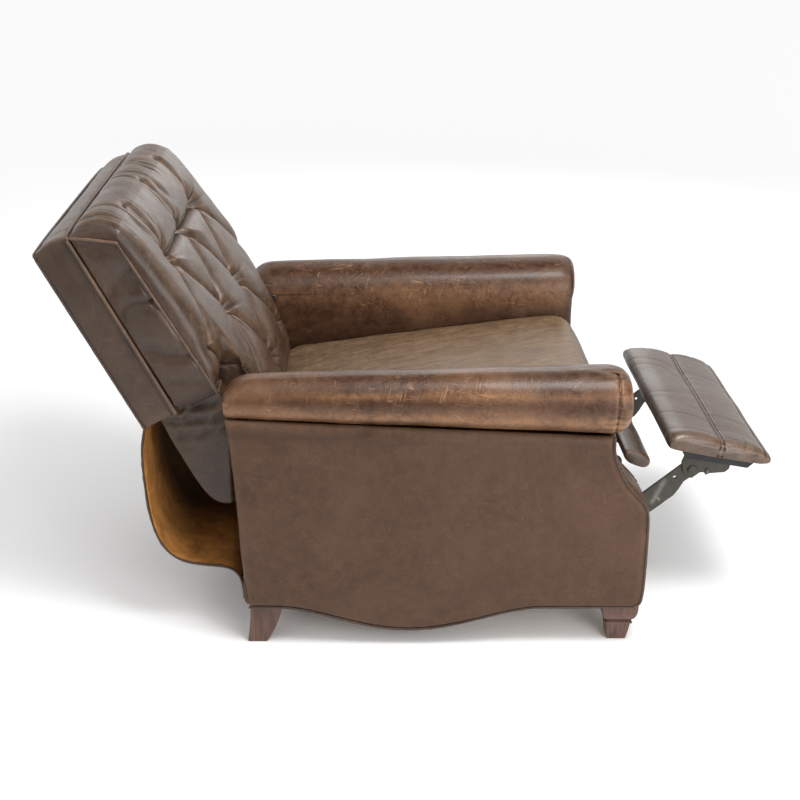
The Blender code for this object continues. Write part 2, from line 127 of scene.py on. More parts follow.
def noise(points, scale, seed=0):
    """Smooth value noise from -1 to 1. scale is cells per metre, one number or three."""
    q = np.asarray(points, float) * np.asarray(scale, float) + 1000.0
    cell = np.floor(q).astype(np.int64)
    part = q - cell
    part = part * part * (3 - 2 * part)
    total = 0.0
    for dx in (0, 1):
        for dy in (0, 1):
            for dz in (0, 1):
                weight = np.ones(part.shape[:-1])
                for axis, step in enumerate((dx, dy, dz)):
                    weight = weight * (part[..., axis] if step else 1 - part[..., axis])
                total = total + weight * lattice(cell[..., 0] + dx, cell[..., 1] + dy, cell[..., 2] + dz,
                                                 seed)
    return total


def folds(points, scale, seed=0, sharp=3.0):
    """Narrow ridges where the noise crosses nought, from 0 to 1."""
    return np.clip(1 - np.abs(noise(points, scale, seed)), 0, 1) ** sharp


def smooth_step(low, high, value):
    t = np.clip((np.asarray(value, float) - low) / (high - low), 0, 1)
    return t * t * (3 - 2 * t)


def resample(points, count, closed=False, rounds=2):
    """count points evenly along a line smoothed by corner cutting."""
    line = np.asarray(points, float)
    for _ in range(rounds):
        if closed:
            after = np.roll(line, -1, 0)
            line = np.stack([line * 0.75 + after * 0.25, line * 0.25 + after * 0.75],
                            1).reshape(-1, line.shape[1])
        else:
            mid = np.stack([line[:-1] * 0.75 + line[1:] * 0.25, line[:-1] * 0.25 + line[1:] * 0.75], 1)
            line = np.concatenate([line[:1], mid.reshape(-1, line.shape[1]), line[-1:]])
    if closed:
        line = np.concatenate([line, line[:1]])
    run = np.concatenate([[0], np.cumsum(np.linalg.norm(np.diff(line, axis=0), axis=1))])
    places = np.linspace(0, run[-1], count + 1)[:-1] if closed else np.linspace(0, run[-1], count)
    return np.stack([np.interp(places, run, line[:, k]) for k in range(line.shape[1])], 1)


def grid_normals(points, wrap_v=False):
    """Unit normals of a grid of points, rows first."""
    du = np.gradient(points, axis=0)
    dv = (np.roll(points, -1, 1) - np.roll(points, 1, 1)) / 2 if wrap_v else np.gradient(points, axis=1)
    normal = np.cross(du, dv)
    return normal / np.maximum(np.linalg.norm(normal, axis=-1, keepdims=True), 1e-12)


def grid_faces(rows, columns, wrap=False, start=0):
    """Quads of a grid whose vertices run row by row."""
    i = np.arange(rows - 1)[:, None]
    j = np.arange(columns if wrap else columns - 1)[None, :]
    k = (j + 1) % columns
    quads = np.stack([i * columns + j, i * columns + k, (i + 1) * columns + k, (i + 1) * columns + j], -1)
    return (quads.reshape(-1, 4) + start).tolist()


# ---- Making pieces ------------------------------------------------------------------------------
def relief_of(mesh, rounds=3):
    """Per-vertex bend of the surface: above nought on ridges, below it in creases."""
    count = len(mesh.vertices)
    place = np.zeros(count * 3)
    mesh.vertices.foreach_get("co", place)
    place = place.reshape(-1, 3)
    normal = np.zeros(count * 3)
    mesh.vertices.foreach_get("normal", normal)
    normal = normal.reshape(-1, 3)
    edges = np.zeros(len(mesh.edges) * 2, np.int64)
    mesh.edges.foreach_get("vertices", edges)
    a, b = edges.reshape(-1, 2).T
    degree = np.maximum(np.bincount(a, minlength=count) + np.bincount(b, minlength=count), 1)

    def around(values):
        total = np.bincount(a, values[b], count) + np.bincount(b, values[a], count)
        return total / degree

    span = np.linalg.norm(place[a] - place[b], axis=1)
    mean_square = (np.bincount(a, span ** 2, count) + np.bincount(b, span ** 2, count)) / degree
    lap = np.stack([around(place[:, k]) for k in range(3)], 1) - place
    bend = -(lap * normal).sum(1) / np.maximum(mean_square, 1e-9)
    for _ in range(rounds):
        bend = (bend + around(bend)) / 2
    return np.clip(bend * 0.010, -1, 1)


def add_piece(name, verts, faces, material, body, replaces=(), rounds=3, wear=None, tone=None):
    """A smooth mesh that rides on a body.

    Each vertex keeps its bend, and how far the leather is rubbed light (wear) or darkened (tone), both functions
    of the vertices' places.
    On the arm rolls the wear also holds a painted reflection, and on the rolls, inner arms, side covers and suede
    flap the tone is painted shade."""
    mesh = bpy.data.meshes.new(name)
    mesh.from_pydata(np.asarray(verts, float).reshape(-1, 3).tolist(), [], faces)
    shape = bmesh.new()
    shape.from_mesh(mesh)
    bmesh.ops.remove_doubles(shape, verts=shape.verts, dist=1e-6)
    bmesh.ops.recalc_face_normals(shape, faces=shape.faces)
    shape.to_mesh(mesh)
    shape.free()
    mesh.shade_smooth()
    place = np.zeros(len(mesh.vertices) * 3)
    mesh.vertices.foreach_get("co", place)
    place = place.reshape(-1, 3)
    for label, rule in (("relief", lambda co: relief_of(mesh, rounds)), ("wear", wear), ("tone", tone)):
        values = rule(place) if rule else np.zeros(len(place))
        mesh.attributes.new(label, "FLOAT", "POINT").data.foreach_set("value", values)
    mesh.materials.append(material)
    piece = bpy.data.objects.new(name, mesh)
    bpy.context.scene.collection.objects.link(piece)
    if body:
        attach(piece, body)
    if replaces:
        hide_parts(*replaces)
    return piece


def tube(name, points, radius, material, body, sides=10, waver=0.0):
    """A welt or wire: a round section swept along points."""
    line = np.asarray(points, float)
    step = np.gradient(line, axis=0)
    step /= np.maximum(np.linalg.norm(step, axis=1, keepdims=True), 1e-12)
    side = np.cross(step, (0.31, 0.52, 0.79))
    side /= np.linalg.norm(side, axis=1, keepdims=True)
    up = np.cross(step, side)
    angle = np.arange(sides) * 2 * pi / sides
    size = radius * (1 + waver * noise(line, 90.0, 5))[:, None, None]
    ring = line[:, None] + size * (np.cos(angle)[None, :, None] * side[:, None] +
                                   np.sin(angle)[None, :, None] * up[:, None])
    rows = len(line)
    faces = grid_faces(rows, sides, wrap=True)
    faces += [list(range(sides)), list(range((rows - 1) * sides, rows * sides))]
    return add_piece(name, ring, faces, material, body, rounds=1)


def stitches(name, points, spacing, length, radius, material, body):
    """A row of short thread stitches along a line, as one piece."""
    line = np.asarray(points, float)
    run = np.concatenate([[0], np.cumsum(np.linalg.norm(np.diff(line, axis=0), axis=1))])
    verts, faces = [], []
    sides = 6
    for start in np.arange(spacing / 2, run[-1] - length, spacing):
        places = start + np.linspace(0, length, 5)
        centre = np.stack([np.interp(places, run, line[:, k]) for k in range(3)], 1)
        step = centre[-1] - centre[0]
        step /= np.linalg.norm(step)
        side = np.cross(step, (0.3, 0.5, 0.8))
        side /= np.linalg.norm(side)
        up = np.cross(step, side)
        base = len(verts)
        for k, point in enumerate(centre):
            size = radius * (0.45 if k in (0, 4) else 1.0)
            for j in range(sides):
                angle = 2 * pi * j / sides
                verts.append(point + size * (cos(angle) * side + sin(angle) * up))
        faces += grid_faces(5, sides, wrap=True, start=base)
        faces += [list(range(base, base + sides)), list(range(base + 4 * sides, base + 5 * sides))]
    return add_piece(name, verts, faces, material, body, rounds=0)


def close_ends(points, rings, axis, lift):
    """Verts and faces of a lofted grid, wrapped round and closed at both ends.

    Each end is drawn in to its middle through rings, lift(ring, share) past the end along an axis."""
    stations, count = points.shape[:2]
    verts = [points.reshape(-1, 3)]
    faces = grid_faces(stations, count, wrap=True)
    size = stations * count
    after = (np.arange(count) + 1) % count
    for end, sign in ((0, -1), (stations - 1, 1)):
        ring = points[end]
        heart = ring.mean(0)
        previous = end * count
        for k in range(1, rings + 1):
            t = k / rings
            inner = ring + (heart - ring) * t
            inner[:, axis] += sign * lift(inner, t)
            if k == rings:
                verts.append(inner.mean(0, keepdims=True))
                faces += [[previous + j, previous + int(after[j]), size] for j in range(count)]
                size += 1
            else:
                verts.append(inner)
                faces += [[previous + j, previous + int(after[j]), size + int(after[j]), size + j]
                          for j in range(count)]
                previous = size
                size += count
    return np.concatenate(verts), faces


def cushion(name, centre, edge, half, rounding, material, body, replaces=(), stations=150, shape=None,
            cap_bulge=0.006, cap_rings=14, cap_shape=None, warp=None, wear=None, tone=None):
    """A stuffed form: closed (forward, up) sections lofted across the chair.

    centre is the section in the middle (or a function of x giving all of them) and edge the one at the
    sides; the form swells from edge to centre over rounding. shape(points, x) gives the height to add
    along the normal. The sides close with softly bulging caps. Returns the piece and its grid."""
    across = np.linspace(-1, 1, stations)
    across = np.sign(across) * (1 - (1 - np.abs(across)) ** 1.25)
    x = across * half
    swell = np.sqrt(np.clip(1 - (np.clip(np.abs(x) - (half - rounding), 0, None) / rounding) ** 2, 0, 1))
    count = len(edge)
    full = centre(x) if callable(centre) else np.broadcast_to(centre, (stations, count, 2))
    points = chair(x[:, None], edge + (full - edge) * swell[:, None, None])
    if shape is not None:
        normal = grid_normals(points, wrap_v=True)
        middle = points[:, :, 1:].mean(1, keepdims=True)
        outward = ((points[:, :, 1:] - middle) * normal[:, :, 1:]).sum()
        normal = normal if outward > 0 else -normal
        height = shape(points, x[:, None]) * np.minimum(1, swell * 1.6)[:, None]
        points = points + normal * height[..., None]

    def lift(ring, t):
        rise = cap_bulge * (1 - (1 - t) ** 2) * np.ones(count)
        return rise if cap_shape is None else rise + cap_shape(ring, t)

    verts, faces = close_ends(points, cap_rings, 0, lift)
    if warp is not None:
        verts = warp(verts)
    return add_piece(name, verts, faces, material, body, replaces, wear=wear, tone=tone), points


def coons(bottom, top, left, right, rows, columns):
    """Grid filling the space between four curves; bottom and top run the same way."""
    s = np.linspace(0, 1, columns)[None, :, None]
    t = np.linspace(0, 1, rows)[:, None, None]
    bottom, top = resample(bottom, columns, rounds=1)[None], resample(top, columns, rounds=1)[None]
    left, right = resample(left, rows, rounds=1)[:, None], resample(right, rows, rounds=1)[:, None]
    corners = ((1 - s) * (1 - t) * bottom[:, :1] + s * (1 - t) * bottom[:, -1:] +
               (1 - s) * t * top[:, :1] + s * t * top[:, -1:])
    return (1 - t) * bottom + t * top + (1 - s) * left + s * right - corners


# ---- Materials ------------------------------------------------------------------------------------
class Nodes:
    """Short names for building a material's node tree."""

    def __init__(self, name):
        self.material = bpy.data.materials.new(name)
        self.material.use_nodes = True
        self.tree = self.material.node_tree
        self.shader = self.tree.nodes["Principled BSDF"]

    def add(self, kind, **settings):
        node = self.tree.nodes.new(kind)
        for key, value in settings.items():
            setattr(node, key, value)
        return node

    def link(self, source, target):
        self.tree.links.new(source, target)

    def feed(self, target, value):
        if isinstance(value, bpy.types.NodeSocket):
            self.link(value, target)
        else:
            target.default_value = value

    def math(self, operation, first, second=0.0, clamp=False):
        node = self.add("ShaderNodeMath", operation=operation, use_clamp=clamp)
        self.feed(node.inputs[0], first)
        self.feed(node.inputs[1], second)
        return node.outputs[0]

    def mix(self, factor, first, second, blend="MIX"):
        node = self.add("ShaderNodeMix", data_type="RGBA", blend_type=blend)
        self.feed(node.inputs["Factor"], factor)
        for socket, value in ((node.inputs["A"], first), (node.inputs["B"], second)):
            self.feed(socket, (*value, 1.0) if isinstance(value, tuple) else value)
        return node.outputs["Result"]

    def coordinates(self, scale=(1, 1, 1), rotation=(0, 0, 0)):
        """Object coordinates, turned and then divided by scale: a small number there is a fine pattern."""
        mapping = self.add("ShaderNodeMapping", vector_type="TEXTURE")
        mapping.inputs["Scale"].default_value = scale
        mapping.inputs["Rotation"].default_value = rotation
        self.link(self.add("ShaderNodeTexCoord").outputs["Object"], mapping.inputs["Vector"])
        return mapping.outputs["Vector"]

    def noise(self, vector, scale, detail=3.0, rough=0.55, distort=0.0):
        node = self.add("ShaderNodeTexNoise")
        self.link(vector, node.inputs["Vector"])
        node.inputs["Scale"].default_value = scale
        node.inputs["Detail"].default_value = detail
        node.inputs["Roughness"].default_value = rough
        node.inputs["Distortion"].default_value = distort
        return node.outputs["Fac"]

    def voronoi(self, vector, scale):
        node = self.add("ShaderNodeTexVoronoi")
        self.link(vector, node.inputs["Vector"])
        node.inputs["Scale"].default_value = scale
        return node.outputs["Distance"]

    def span(self, value, low, high, start=0.0, finish=1.0):
        """Straight step: start below low, finish above high."""
        node = self.add("ShaderNodeMapRange", clamp=True)
        self.feed(node.inputs["Value"], value)
        for key, number in (("From Min", low), ("From Max", high), ("To Min", start), ("To Max", finish)):
            node.inputs[key].default_value = number
        return node.outputs["Result"]

    def attribute(self, name):
        return self.add("ShaderNodeAttribute", attribute_name=name).outputs["Fac"]

    def bump(self, height, strength, distance, normal=None):
        node = self.add("ShaderNodeBump")
        node.inputs["Strength"].default_value = strength
        node.inputs["Distance"].default_value = distance
        self.link(height, node.inputs["Height"])
        if normal is not None:
            self.link(normal, node.inputs["Normal"])
        return node.outputs["Normal"]


def leather(name, deep, plain, worn, shine=0.42, wear=1.0, scratches=1.0, patch=0.5, coat=0.12, specular=0.5,
            streaks=0.0):
    """Waxed pull-up leather: mottled, rubbed light on ridges, with painted shade in creases, veined and scratched.
    """
    n = Nodes(name)
    at = n.coordinates()
    broad = n.noise(at, 5.0, 3.0, 0.5, 0.4)
    mottle = n.noise(at, 42.0, 6.0, 0.66, 0.5)
    fine = n.noise(at, 230.0, 4.0, 0.6)
    relief = n.attribute("relief")
    rubbed = n.attribute("wear")
    colour = n.mix(n.span(mottle, 0.34, 0.66), deep, plain)
    colour = n.mix(n.math("MULTIPLY", n.span(broad, 0.45, 0.68), patch), colour, worn)
    if streaks:
        grain = n.noise(n.coordinates((1 / 90, 1 / 9, 1 / 90), (0, 0, 0.25)), 1.0, 4.0, 0.6, 0.5)
        colour = n.mix(n.span(grain, 0.42, 0.66, 0.0, streaks), colour, worn)
        colour = n.mix(n.span(grain, 0.50, 0.34, 0.0, streaks), colour, deep)
    spread = n.math("MULTIPLY", rubbed, n.span(mottle, 0.30, 0.60, 0.30, 1.0))
    colour = n.mix(n.math("MULTIPLY", spread, 0.9, True), colour, worn)
    ridge = n.math("MULTIPLY", n.span(relief, 0.05, 0.55), n.span(mottle, 0.30, 0.62, 0.35, 1.0))
    colour = n.mix(n.math("MULTIPLY", ridge, 0.85 * wear, True), colour, tuple(min(1, c * 1.3) for c in worn))
    # painted shade: creases darkened towards a sixth of the deep colour; the same mask also raises the roughness
    # there
    painted_crease_shade = n.span(relief, -0.03, -0.42)
    colour = n.mix(n.math("MULTIPLY", painted_crease_shade, 0.90), colour, tuple(c * 0.16 for c in deep))
    lines = None
    for turn in ((0.3, 0.2, 0.5), (1.2, -0.5, 1.9), (2.1, 0.9, 0.1), (0.2, 1.3, 2.7)):
        way = n.coordinates((1 / 400, 1 / 22, 1 / 22), turn)
        line = n.span(n.noise(way, 1.0, 2.0, 0.5, 0.6), 0.665, 0.705)
        lines = line if lines is None else n.math("MAXIMUM", lines, line)
    level = n.noise(n.coordinates(rotation=(0.5, 1.1, 0.2)), 15.0, 2.5, 0.55, 0.9)
    vein = n.span(n.math("ABSOLUTE", n.math("SUBTRACT", level, 0.5)), 0.010, 0.002)
    lines = n.math("MAXIMUM", lines, n.math("MULTIPLY", vein, 0.35))
    marks = n.math("MULTIPLY", lines, n.span(n.noise(at, 13.0, 3.0), 0.45, 0.60))
    colour = n.mix(n.math("MULTIPLY", marks, 0.55 * scratches, True), colour,
                   tuple(min(1, c * 1.5) for c in worn))
    colour = n.mix(n.span(fine, 0.35, 0.75, 0.0, 0.30), colour, tuple(c * 0.5 for c in deep))
    # tone darkens the leather towards three quarters of the deep colour; on the arm rolls, inner arms and side
    # covers this is painted shade
    colour = n.mix(n.attribute("tone"), colour, tuple(c * 0.75 for c in deep))
    n.link(colour, n.shader.inputs["Base Color"])
    rough = n.math("ADD", n.span(mottle, 0.3, 0.7, shine - 0.07, shine + 0.10),
                   n.math("MULTIPLY", painted_crease_shade, 0.2))
    rough = n.math("SUBTRACT", rough, n.math("MULTIPLY", ridge, 0.06))
    n.link(rough, n.shader.inputs["Roughness"])
    pores = n.voronoi(at, 620.0)
    grain = n.math("ADD", n.math("MULTIPLY", pores, 0.7), n.math("MULTIPLY", n.noise(at, 420.0, 3.0), 0.8))
    soft = n.noise(at, 60.0, 4.0, 0.6, 0.8)
    first = n.bump(soft, 0.30, 0.004)
    second = n.bump(grain, 0.30, 0.0007, first)
    n.link(n.bump(marks, 0.25, -0.0006, second), n.shader.inputs["Normal"])
    n.shader.inputs["Specular IOR Level"].default_value = specular
    n.shader.inputs["Coat Weight"].default_value = coat
    n.shader.inputs["Coat Roughness"].default_value = 0.20
    return n.material


def suede(name, deep, light):
    """Napped flesh side of the leather."""
    n = Nodes(name)
    at = n.coordinates()
    nap = n.noise(at, 26.0, 5.0, 0.65, 0.6)
    fuzz = n.noise(at, 900.0, 3.0, 0.7)
    colour = n.mix(n.span(nap, 0.30, 0.70), deep, light)
    colour = n.mix(n.span(fuzz, 0.3, 0.7, 0.0, 0.25), colour, tuple(c * 0.6 for c in deep))
    # tone: painted shade, down to a seventh of the deep colour
    n.link(n.mix(n.attribute("tone"), colour, tuple(c * 0.14 for c in deep)), n.shader.inputs["Base Color"])
    n.shader.inputs["Roughness"].default_value = 0.95
    n.shader.inputs["Specular IOR Level"].default_value = 0.05
    n.link(n.bump(n.math("ADD", fuzz, nap), 0.5, 0.0012), n.shader.inputs["Normal"])
    return n.material


def wood(name, deep, light, along, shine):
    """Stained or raw timber with grain along one axis."""
    n = Nodes(name)
    stretch = tuple(1 / 6.0 if k == along else 1 / 90.0 for k in range(3))
    grain = n.noise(n.coordinates(stretch), 1.0, 5.0, 0.65, 1.4)
    pores = n.noise(n.coordinates(tuple(s / 6 for s in stretch)), 1.0, 3.0, 0.6)
    colour = n.mix(n.span(grain, 0.3, 0.7), deep, light)
    n.link(n.mix(n.span(pores, 0.58, 0.72, 0.0, 0.6), colour, tuple(c * 0.4 for c in deep)),
           n.shader.inputs["Base Color"])
    n.link(n.span(grain, 0.3, 0.7, shine, shine + 0.12), n.shader.inputs["Roughness"])
    n.link(n.bump(pores, 0.25, 0.0006), n.shader.inputs["Normal"])
    return n.material


def metal(name, colour, edge, shine, metallic=0.0, scuffs=0.5):
    """Painted steel: slight orange peel, rubbed patches of bare metal."""
    n = Nodes(name)
    at = n.coordinates()
    blotch = n.noise(at, 22.0, 5.0, 0.65, 0.8)
    scratch = n.noise(n.coordinates((1 / 260, 1 / 25, 1 / 25), (0.4, 0.3, 0.9)), 1.0, 3.0, 0.6)
    rubbed = n.math("MULTIPLY", n.span(blotch, 0.62, 0.70), n.span(scratch, 0.42, 0.55))
    speckle = n.math("MULTIPLY", n.attribute("wear"),
                     n.span(n.noise(at, 420.0, 3.0, 0.7), 0.40, 0.60, 0.25, 1.0))
    base = n.mix(n.span(n.noise(at, 60.0, 4.0), 0.3, 0.7), colour, tuple(c * 0.72 for c in colour))
    base = n.mix(n.math("MULTIPLY", rubbed, scuffs, True), base, edge)
    n.link(n.mix(speckle, base, edge), n.shader.inputs["Base Color"])
    n.link(n.span(blotch, 0.3, 0.7, shine - 0.05, shine + 0.12), n.shader.inputs["Roughness"])
    n.shader.inputs["Metallic"].default_value = metallic
    n.link(n.bump(n.noise(at, 500.0, 3.0), 0.12, 0.0005), n.shader.inputs["Normal"])
    return n.material


def woven(name, colour):
    """Elastic webbing: two crossed sets of bands."""
    n = Nodes(name)
    at = n.coordinates()
    weave = n.add("ShaderNodeTexWave", wave_type="BANDS", bands_direction="X")
    n.link(at, weave.inputs["Vector"])
    weave.inputs["Scale"].default_value = 160.0
    cross = n.add("ShaderNodeTexWave", wave_type="BANDS", bands_direction="Y")
    n.link(at, cross.inputs["Vector"])
    cross.inputs["Scale"].default_value = 160.0
    height = n.math("MULTIPLY", weave.outputs["Fac"], cross.outputs["Fac"])
    n.link(n.mix(height, tuple(c * 0.6 for c in colour), colour), n.shader.inputs["Base Color"])
    n.shader.inputs["Roughness"].default_value = 0.9
    n.link(n.bump(height, 0.4, 0.001), n.shader.inputs["Normal"])
    return n.material


DEEP = (0.042, 0.021, 0.011)
PLAIN = (0.098, 0.057, 0.032)
WORN = (0.200, 0.108, 0.055)
MAT = {
    "body": leather("leather_body", (0.059, 0.027, 0.013), (0.086, 0.043, 0.023), (0.120, 0.065, 0.037),
                    shine=0.50, wear=0.8, scratches=0.45, patch=0.30, coat=0.04, specular=0.28),
    "roll": leather("leather_roll", (0.044, 0.018, 0.009), (0.100, 0.048, 0.025), (0.310, 0.156, 0.074),
                    shine=0.34, scratches=0.9, patch=0.35, specular=0.26),
    "back": leather("leather_back", DEEP, PLAIN, WORN,
                    shine=0.40, wear=0.8, scratches=0.5, patch=0.25, coat=0.16, specular=0.42),
    "seat": leather("leather_seat", (0.098, 0.057, 0.028), (0.192, 0.122, 0.066), (0.240, 0.150, 0.082),
                    shine=0.50, wear=0.6, scratches=0.7, patch=0.35, coat=0.05, streaks=0.45),
    "rest": leather("leather_rest", (0.050, 0.028, 0.016), (0.102, 0.064, 0.039), (0.190, 0.100, 0.052),
                    shine=0.38, wear=0.8, scratches=0.30, patch=0.15, coat=0.26),
    "welt": leather("leather_welt", (0.018, 0.009, 0.005), (0.040, 0.019, 0.010), (0.090, 0.040, 0.018),
                    shine=0.45, wear=0.5, scratches=0.3, patch=0.25, coat=0.05),
    "welt_worn": leather("leather_welt_worn", (0.040, 0.021, 0.012), (0.078, 0.042, 0.025),
                         (0.150, 0.084, 0.048), shine=0.45, wear=0.8, scratches=0.3, patch=0.6, coat=0.05),
    "suede": suede("suede_tan", (0.300, 0.125, 0.032), (0.620, 0.285, 0.080)),
    "foot": wood("stained_foot", (0.040, 0.018, 0.012), (0.150, 0.068, 0.042), 2, 0.30),
    "hardwood": wood("raw_hardwood", (0.300, 0.190, 0.100), (0.480, 0.340, 0.200), 1, 0.60),
    "board": metal("black_board", (0.014, 0.013, 0.012), (0.05, 0.045, 0.04), 0.60, 0.0, 0.3),
    "steel": metal("mechanism_steel", (0.058, 0.052, 0.040), (0.36, 0.35, 0.31), 0.45, 0.25, 0.9),
    "steel_worn": metal("bare_steel", (0.120, 0.112, 0.098), (0.55, 0.54, 0.50), 0.35, 0.60, 1.0),
    "nail": metal("antique_nail", (0.110, 0.062, 0.030), (0.46, 0.32, 0.17), 0.36, 0.80, 0.9),
    "thread": metal("waxed_thread", (0.150, 0.082, 0.040), (0.24, 0.14, 0.08), 0.60, 0.0, 0.3),
    "thread_dark": metal("dark_thread", (0.022, 0.012, 0.008), (0.06, 0.03, 0.02), 0.60, 0.0, 0.3),
    "webbing": woven("elastic_webbing", (0.230, 0.185, 0.125)),
}


def finish_cad_nodes():
    """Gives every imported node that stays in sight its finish."""
    kinds = {"hardwood": "hardwood", "foot_wood": "foot", "board": "board", "steel": "steel",
             "nailhead": "nail", "webbing": "webbing", "leather": "body", "seat_leather": "seat"}
    slots = {s["node"]: s["material_slot"] for s in frame["record"]["subparts"]}
    for name, node in frame["nodes"].items():
        node.data.materials.clear()
        node.data.materials.append(MAT[kinds[slots[name]]])


# ---- Arms -------------------------------------------------------------------------------------------
ROLL_LIFT = 0.5575
ROLL_DROP = 0.005
ARM_FRONT_EDGE = [(0.797, 0.095), (0.807, 0.099), (0.8125, 0.110), (0.814, 0.160), (0.812, 0.240),
                  (0.809, 0.312), (0.802, 0.333), (0.785, 0.353),
                  (0.763, 0.376), (0.742, 0.412), (0.729, 0.448), (0.727, 0.486)]
ARM_REAR_EDGE = [(0.0, 0.095), (-0.012, 0.205), (-0.015, 0.300), (-0.023, 0.436), (-0.033, 0.522)]
SCALLOP = (0.065, 0.600, 0.041)


def roll_at(forward):
    """(height of the centre, radius) of an arm roll at a place along it."""
    share = (np.asarray(forward, float) - ROLL_REAR) / (ROLL_FRONT - ROLL_REAR)
    return ROLL_LIFT - ROLL_DROP * share, ROLL_REAR_R + (ROLL_FRONT_R - ROLL_REAR_R) * share


def roll_relief(points):
    """Slow unevenness of a roll's padding, the same for every cover drawn over it."""
    return 0.0020 * noise(points, (7, 8, 7), 3) + 0.0007 * noise(points, (30, 20, 30), 4)


def roll_end(gap, length, power):
    """How far a roll has turned in towards its end, from 0 to 1, at a gap from that end."""
    return 1 - np.sqrt(np.clip(1 - np.clip(1 - gap / length, 0, 1) ** power, 0, 1))


def shell(name, outer, inner, material, replaces=(), body="base", wear=None, tone=None):
    """Closed sheet of leather between two grids of the same size."""
    rows, columns = outer.shape[:2]
    base = rows * columns
    faces = grid_faces(rows, columns)
    faces += [[a + base, b + base, c + base, d + base] for a, b, c, d in grid_faces(rows, columns)]
    rim = list(range(columns)) + [r * columns + columns - 1 for r in range(1, rows)]
    rim += [(rows - 1) * columns + i for i in range(columns - 2, -1, -1)]
    rim += [r * columns for r in range(rows - 2, 0, -1)]
    after = rim[1:] + rim[:1]
    faces += [[a, b, b + base, a + base] for a, b in zip(rim, after)]
    verts = np.concatenate([outer.reshape(-1, 3), inner.reshape(-1, 3)])
    return add_piece(name, verts, faces, material, body, replaces, wear=wear, tone=tone)


def trace(grid, key, value, keep):
    """For each section of a grid, the point where key reaches value among the points to keep."""
    line = []
    for row, keys, good in zip(grid, key, keep):
        gap = np.where(good, np.abs(keys - value), 9.0)
        k = int(gap.argmin())
        k2 = k + 1 if good[(k + 1) % len(row)] and (keys[(k + 1) % len(row)] -
                                                    value) * (keys[k] - value) < 0 else k - 1
        k2 %= len(row)
        share = (value - keys[k]) / (keys[k2] - keys[k]) if abs(keys[k2] - keys[k]) > 1e-9 else 0.0
        line.append(row[k] + (row[k2] - row[k]) * min(max(share, 0.0), 1.0))
    return np.array(line)


def arm_roll(side, sign):
    """The padded roll: blunt sewn front, rear end falling away, pulls by the seam and a few dents."""
    around, rows = 132, 230
    length = ROLL_FRONT - ROLL_REAR
    t = np.linspace(0, 1, rows)
    forward = ROLL_REAR + length * (0.7 * (0.5 - 0.5 * np.cos(pi * t)) + 0.3 * t)
    lift, radius = roll_at(forward)
    angle = np.arange(around) * 2 * pi / around
    rise, reach = np.sin(angle)[None], np.cos(angle)[None]
    front_gap, rear_gap = (ROLL_FRONT - forward)[:, None], (forward - ROLL_REAR)[:, None]
    upper, lower = np.clip(rise, 0, 1), np.clip(-rise, 0, 1)
    front_loss = 0.30 + 0.10 * upper + 0.18 * lower
    rear_loss = 0.18 + 0.74 * upper
    bend_front = roll_end(front_gap, 0.026 + 0.024 * upper + 0.010 * lower, 2.4)
    bend_rear = roll_end(rear_gap, 0.018 + 0.038 * upper, 2.2)
    ring = radius[:, None] * (1 - front_loss * bend_front) * (1 - rear_loss * bend_rear)
    x = sign * (ROLL_X + ring * reach)
    places = np.broadcast_to(MIDDLE - forward[:, None], x.shape)
    points = np.stack([x, places, lift[:, None] + ring * rise], -1)
    normal = np.stack([sign * reach * np.ones((rows, 1)), np.zeros(x.shape), rise * np.ones((rows, 1))], -1)
    height = roll_relief(points)
    seam = 0.030 + 0.004 * noise(points, 18, 9)
    height = height - 0.0032 * np.exp(-((front_gap - seam) / 0.0028) ** 2)
    pulls = folds(points, (62, 8, 62), 8, 3.5) * np.exp(-((front_gap - seam) / 0.024) ** 2)
    height = height - 0.0034 * pulls
    dents = folds(points, (6, 30, 6), 12, 9.0) * smooth_step(0.0, 0.5, noise(points, 5, 13))
    height = height - 0.0012 * dents * smooth_step(0.9, 0.5, rise) * smooth_step(0.25, 0.45, rear_gap)
    points = points + normal * height[..., None]
    verts, faces = close_ends(points, 12, 1, lambda ring, t: -0.0045 * sin(pi * t / 2) -
                              0.0012 * noise(ring, 45, 15) * min(1, 3 * t))

    def tilt_of(co):
        centre, _ = roll_at(MIDDLE - co[:, 1])
        return np.degrees(np.arctan2(co[:, 2] - centre, np.abs(co[:, 0]) - ROLL_X))

    def wear(co):
        patchy = 0.55 + 0.45 * noise(co, (9, 7, 9), 16)
        ends = 0.45 * smooth_step(0.060, 0.02, ROLL_FRONT - (MIDDLE - co[:, 1]))
        ahead = smooth_step(0.02, 0.35, MIDDLE - co[:, 1] - ROLL_REAR)
        # under: a lighter band on the roll's underside, a painted reflection of the pale floor; band and ends are
        # rubbed wear
        under = (0.45 + 0.45 * ahead) * np.exp(-((tilt_of(co) + 24) / 14.0) ** 2)
        band = ahead * np.exp(-((tilt_of(co) - 27) / 8.0) ** 2)
        return np.clip(band * patchy + ends * patchy + under, 0, 1)

    # Painted shade: a dark band just above the roll's middle standing for a dark reflection, and a darker mottled
    # band across its top, both set by the angle round the roll
    def tone(co):
        dark = 0.70 * np.exp(-((tilt_of(co) - 9) / 11.0) ** 2) * (0.6 + 0.4 * noise(co, 12, 17))
        mottled = 0.50 * np.exp(-((tilt_of(co) - 70) / 12.0) ** 2) * (0.5 + 0.8 * noise(co, (16, 9, 16), 18))
        return np.clip(dark + mottled, 0, 1)

    roll = add_piece("roll_cover_" + side, verts, faces, MAT["roll"], "base",
                     ["arm_roll_" + side], wear=wear, tone=tone)


def side_top(forward):
    """Height at which the outer arm cover meets the underside of the roll."""
    lift, radius = roll_at(forward)
    return lift - np.sqrt(np.clip(radius ** 2 - (ARM_OUTER - 0.008 - ROLL_X) ** 2, 0, None)) + 0.004


